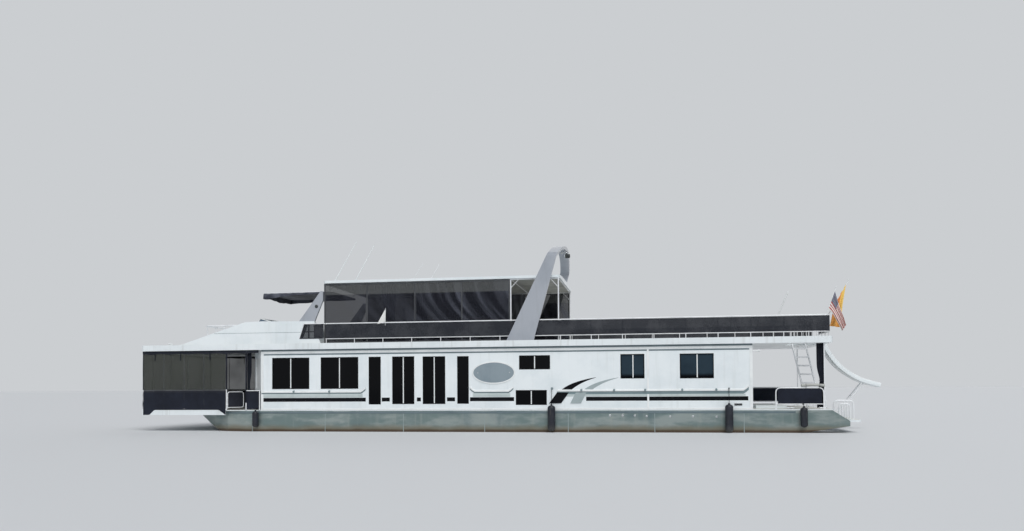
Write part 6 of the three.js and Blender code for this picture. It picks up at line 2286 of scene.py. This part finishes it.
def drive_dressing(label):
    """Cover plates, bolts, trim rams, intake slots and a zinc on the outdrive's leg."""
    low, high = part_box(f"{label}_drive_leg")
    pin_x, pin_y = low.x + 0.6, (low.y + high.y) / 2
    body = f"{label}_drive"
    plates, bolts, slots = Shape(), Shape(), Shape()
    outline = [(-0.14, 0.12), (-0.295, -0.12), (-0.295, -0.47), (-0.11, -0.52), (0.01, -0.52),
               (0.01, -0.3), (0.0, 0.12)]
    for way in (1, -1):
        across = ordered(way * 0.0605, way * 0.074)
        plates.prism([(pin_x + x, z) for x, z in outline], in_profile,
                     [pin_y + off for off in across])
        for x, z in ((-0.15, 0.08), (-0.265, -0.14), (-0.265, -0.44), (-0.12, -0.49), (-0.02, -0.49),
                     (-0.02, 0.08)):
            bolts.stud([(0.014, 0.0), (0.014, 0.006), (0.008, 0.009)],
                       (pin_x + x, pin_y + way * 0.074, z), way, 12)
        ram = [(pin_x - 0.02, pin_y + way * 0.092, -0.2), (pin_x - 0.25, pin_y + way * 0.092, -0.4)]
        bolts.tube(ram, 0.011)
        bolts.tube([ram[0], Vector(ram[0]).lerp(Vector(ram[1]), 0.55)], 0.018)
        for k in range(4):
            x = pin_x - 0.22 + 0.045 * k
            slots.box((x, x + 0.016), ordered(pin_y + way * 0.0352, pin_y + way * 0.0375),
                      (-0.68, -0.6))
    plates.bevel(0.004, 2)
    plates.done(f"{label}_drive_covers", ENGINE_PAINT, body=body, slot="engine_paint")
    bolts.box((pin_x - 0.52, pin_x - 0.4), (pin_y - 0.03, pin_y + 0.03), (-0.578, -0.5605))
    bolts.done(f"{label}_drive_rams", STEEL, body=body, slot="engine_paint")
    slots.done(f"{label}_drive_slots", DARK_RUBBER, body=body, slot="engine_paint")


def propeller_nut(label):
    """The nut behind the propeller, which turns with it."""
    aft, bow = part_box(f"{label}_propeller")
    nut = Shape()
    spot = (aft.x, (aft.y + bow.y) / 2, pin_z(label))
    nut.lathe([(0.05, 0.0), (0.046, -0.012), (0.03, -0.03), (0.03, -0.045), (0.012, -0.052)], spot,
              axis="X", segments=18)
    nut.done(f"{label}_propeller_nut", STEEL, body=f"{label}_prop", slot="propeller_metal")


for label in SIDES:
    engine_covers(label)
    engine_pulleys(label)
    engine_hoses(label)
    drive_dressing(label)
    propeller_nut(label)


# Stage, light and camera

AMBIENT = 0.42


def studio():
    """A floor, an even pale surround and three broad lights."""
    floor_mesh = bpy.data.meshes.new("floor")
    reach = 400
    corners = [(-reach, -reach, 0), (reach, -reach, 0), (reach, reach, 0), (-reach, reach, 0)]
    floor_mesh.from_pydata(corners, [], [(0, 1, 2, 3)])
    floor = bpy.data.objects.new("floor", floor_mesh)
    bpy.context.scene.collection.objects.link(floor)
    pale, _, sockets = material("floor_pale", Roughness=0.7)
    sockets["Base Color"].default_value = rgb(214, 216, 218)
    floor_mesh.materials.append(pale)

    world = bpy.data.worlds.new("studio")
    world.use_nodes = True
    sky = Wires(world.node_tree)
    seen = sky.put("LightPath", {}, out="Is Camera Ray")
    ambient = rgb(212, 217, 224)
    backdrop = [value / AMBIENT for value in rgb(203, 206, 209)[:3]] + [1]
    background = world.node_tree.nodes["Background"]
    sky.set(background.inputs["Color"], sky.mix(seen, ambient, backdrop))
    background.inputs["Strength"].default_value = AMBIENT
    bpy.context.scene.world = world
    bpy.context.scene.view_settings.view_transform = "Standard"

    def broad_light(name, towards, strength, width):
        """Even light from one direction, as from a large diffuser."""
        light = bpy.data.lights.new(name, "SUN")
        light.energy = strength
        light.angle = math.radians(width)
        lamp = bpy.data.objects.new(name, light)
        bpy.context.scene.collection.objects.link(lamp)
        lamp.rotation_euler = Vector(towards).to_track_quat("-Z", "Y").to_euler()

    broad_light("key", (0.35, -0.7, -1.0), 2.0, 35)
    broad_light("port_fill", (-0.6, -1.0, -0.2), 0.45, 60)
    broad_light("starboard_fill", (0.1, 1.0, -0.5), 0.4, 60)


def photo_camera():
    """Off the port side and a little above the water, as the photograph was taken."""
    eye = Vector((-5.603, 30.578, 1.562))
    yaw, pitch, roll = (math.radians(angle) for angle in (9.011, 1.391, -0.341))
    focal, centre, width, height = 839.9, (509.49, 365.62), 1024, 531
    right = Vector((-math.cos(yaw), -math.sin(yaw), 0))
    ahead = Vector((math.sin(yaw) * math.cos(pitch), -math.cos(yaw) * math.cos(pitch), math.sin(pitch)))
    up = right.cross(ahead)
    across = right * math.cos(roll) + up * math.sin(roll)
    rise = up * math.cos(roll) - right * math.sin(roll)
    lens = bpy.data.cameras.new("photo_camera")
    lens.sensor_width = 36
    lens.lens = focal * lens.sensor_width / width
    lens.shift_x = (width / 2 - centre[0]) / width
    lens.shift_y = (centre[1] - height / 2) / width
    lens.clip_end = 500
    camera = bpy.data.objects.new("photo_camera", lens)
    bpy.context.scene.collection.objects.link(camera)
    camera.matrix_world = Matrix.Translation(eye) @ Matrix((across, rise, -ahead)).transposed().to_4x4()
    bpy.context.scene.camera = camera


studio()
photo_camera()
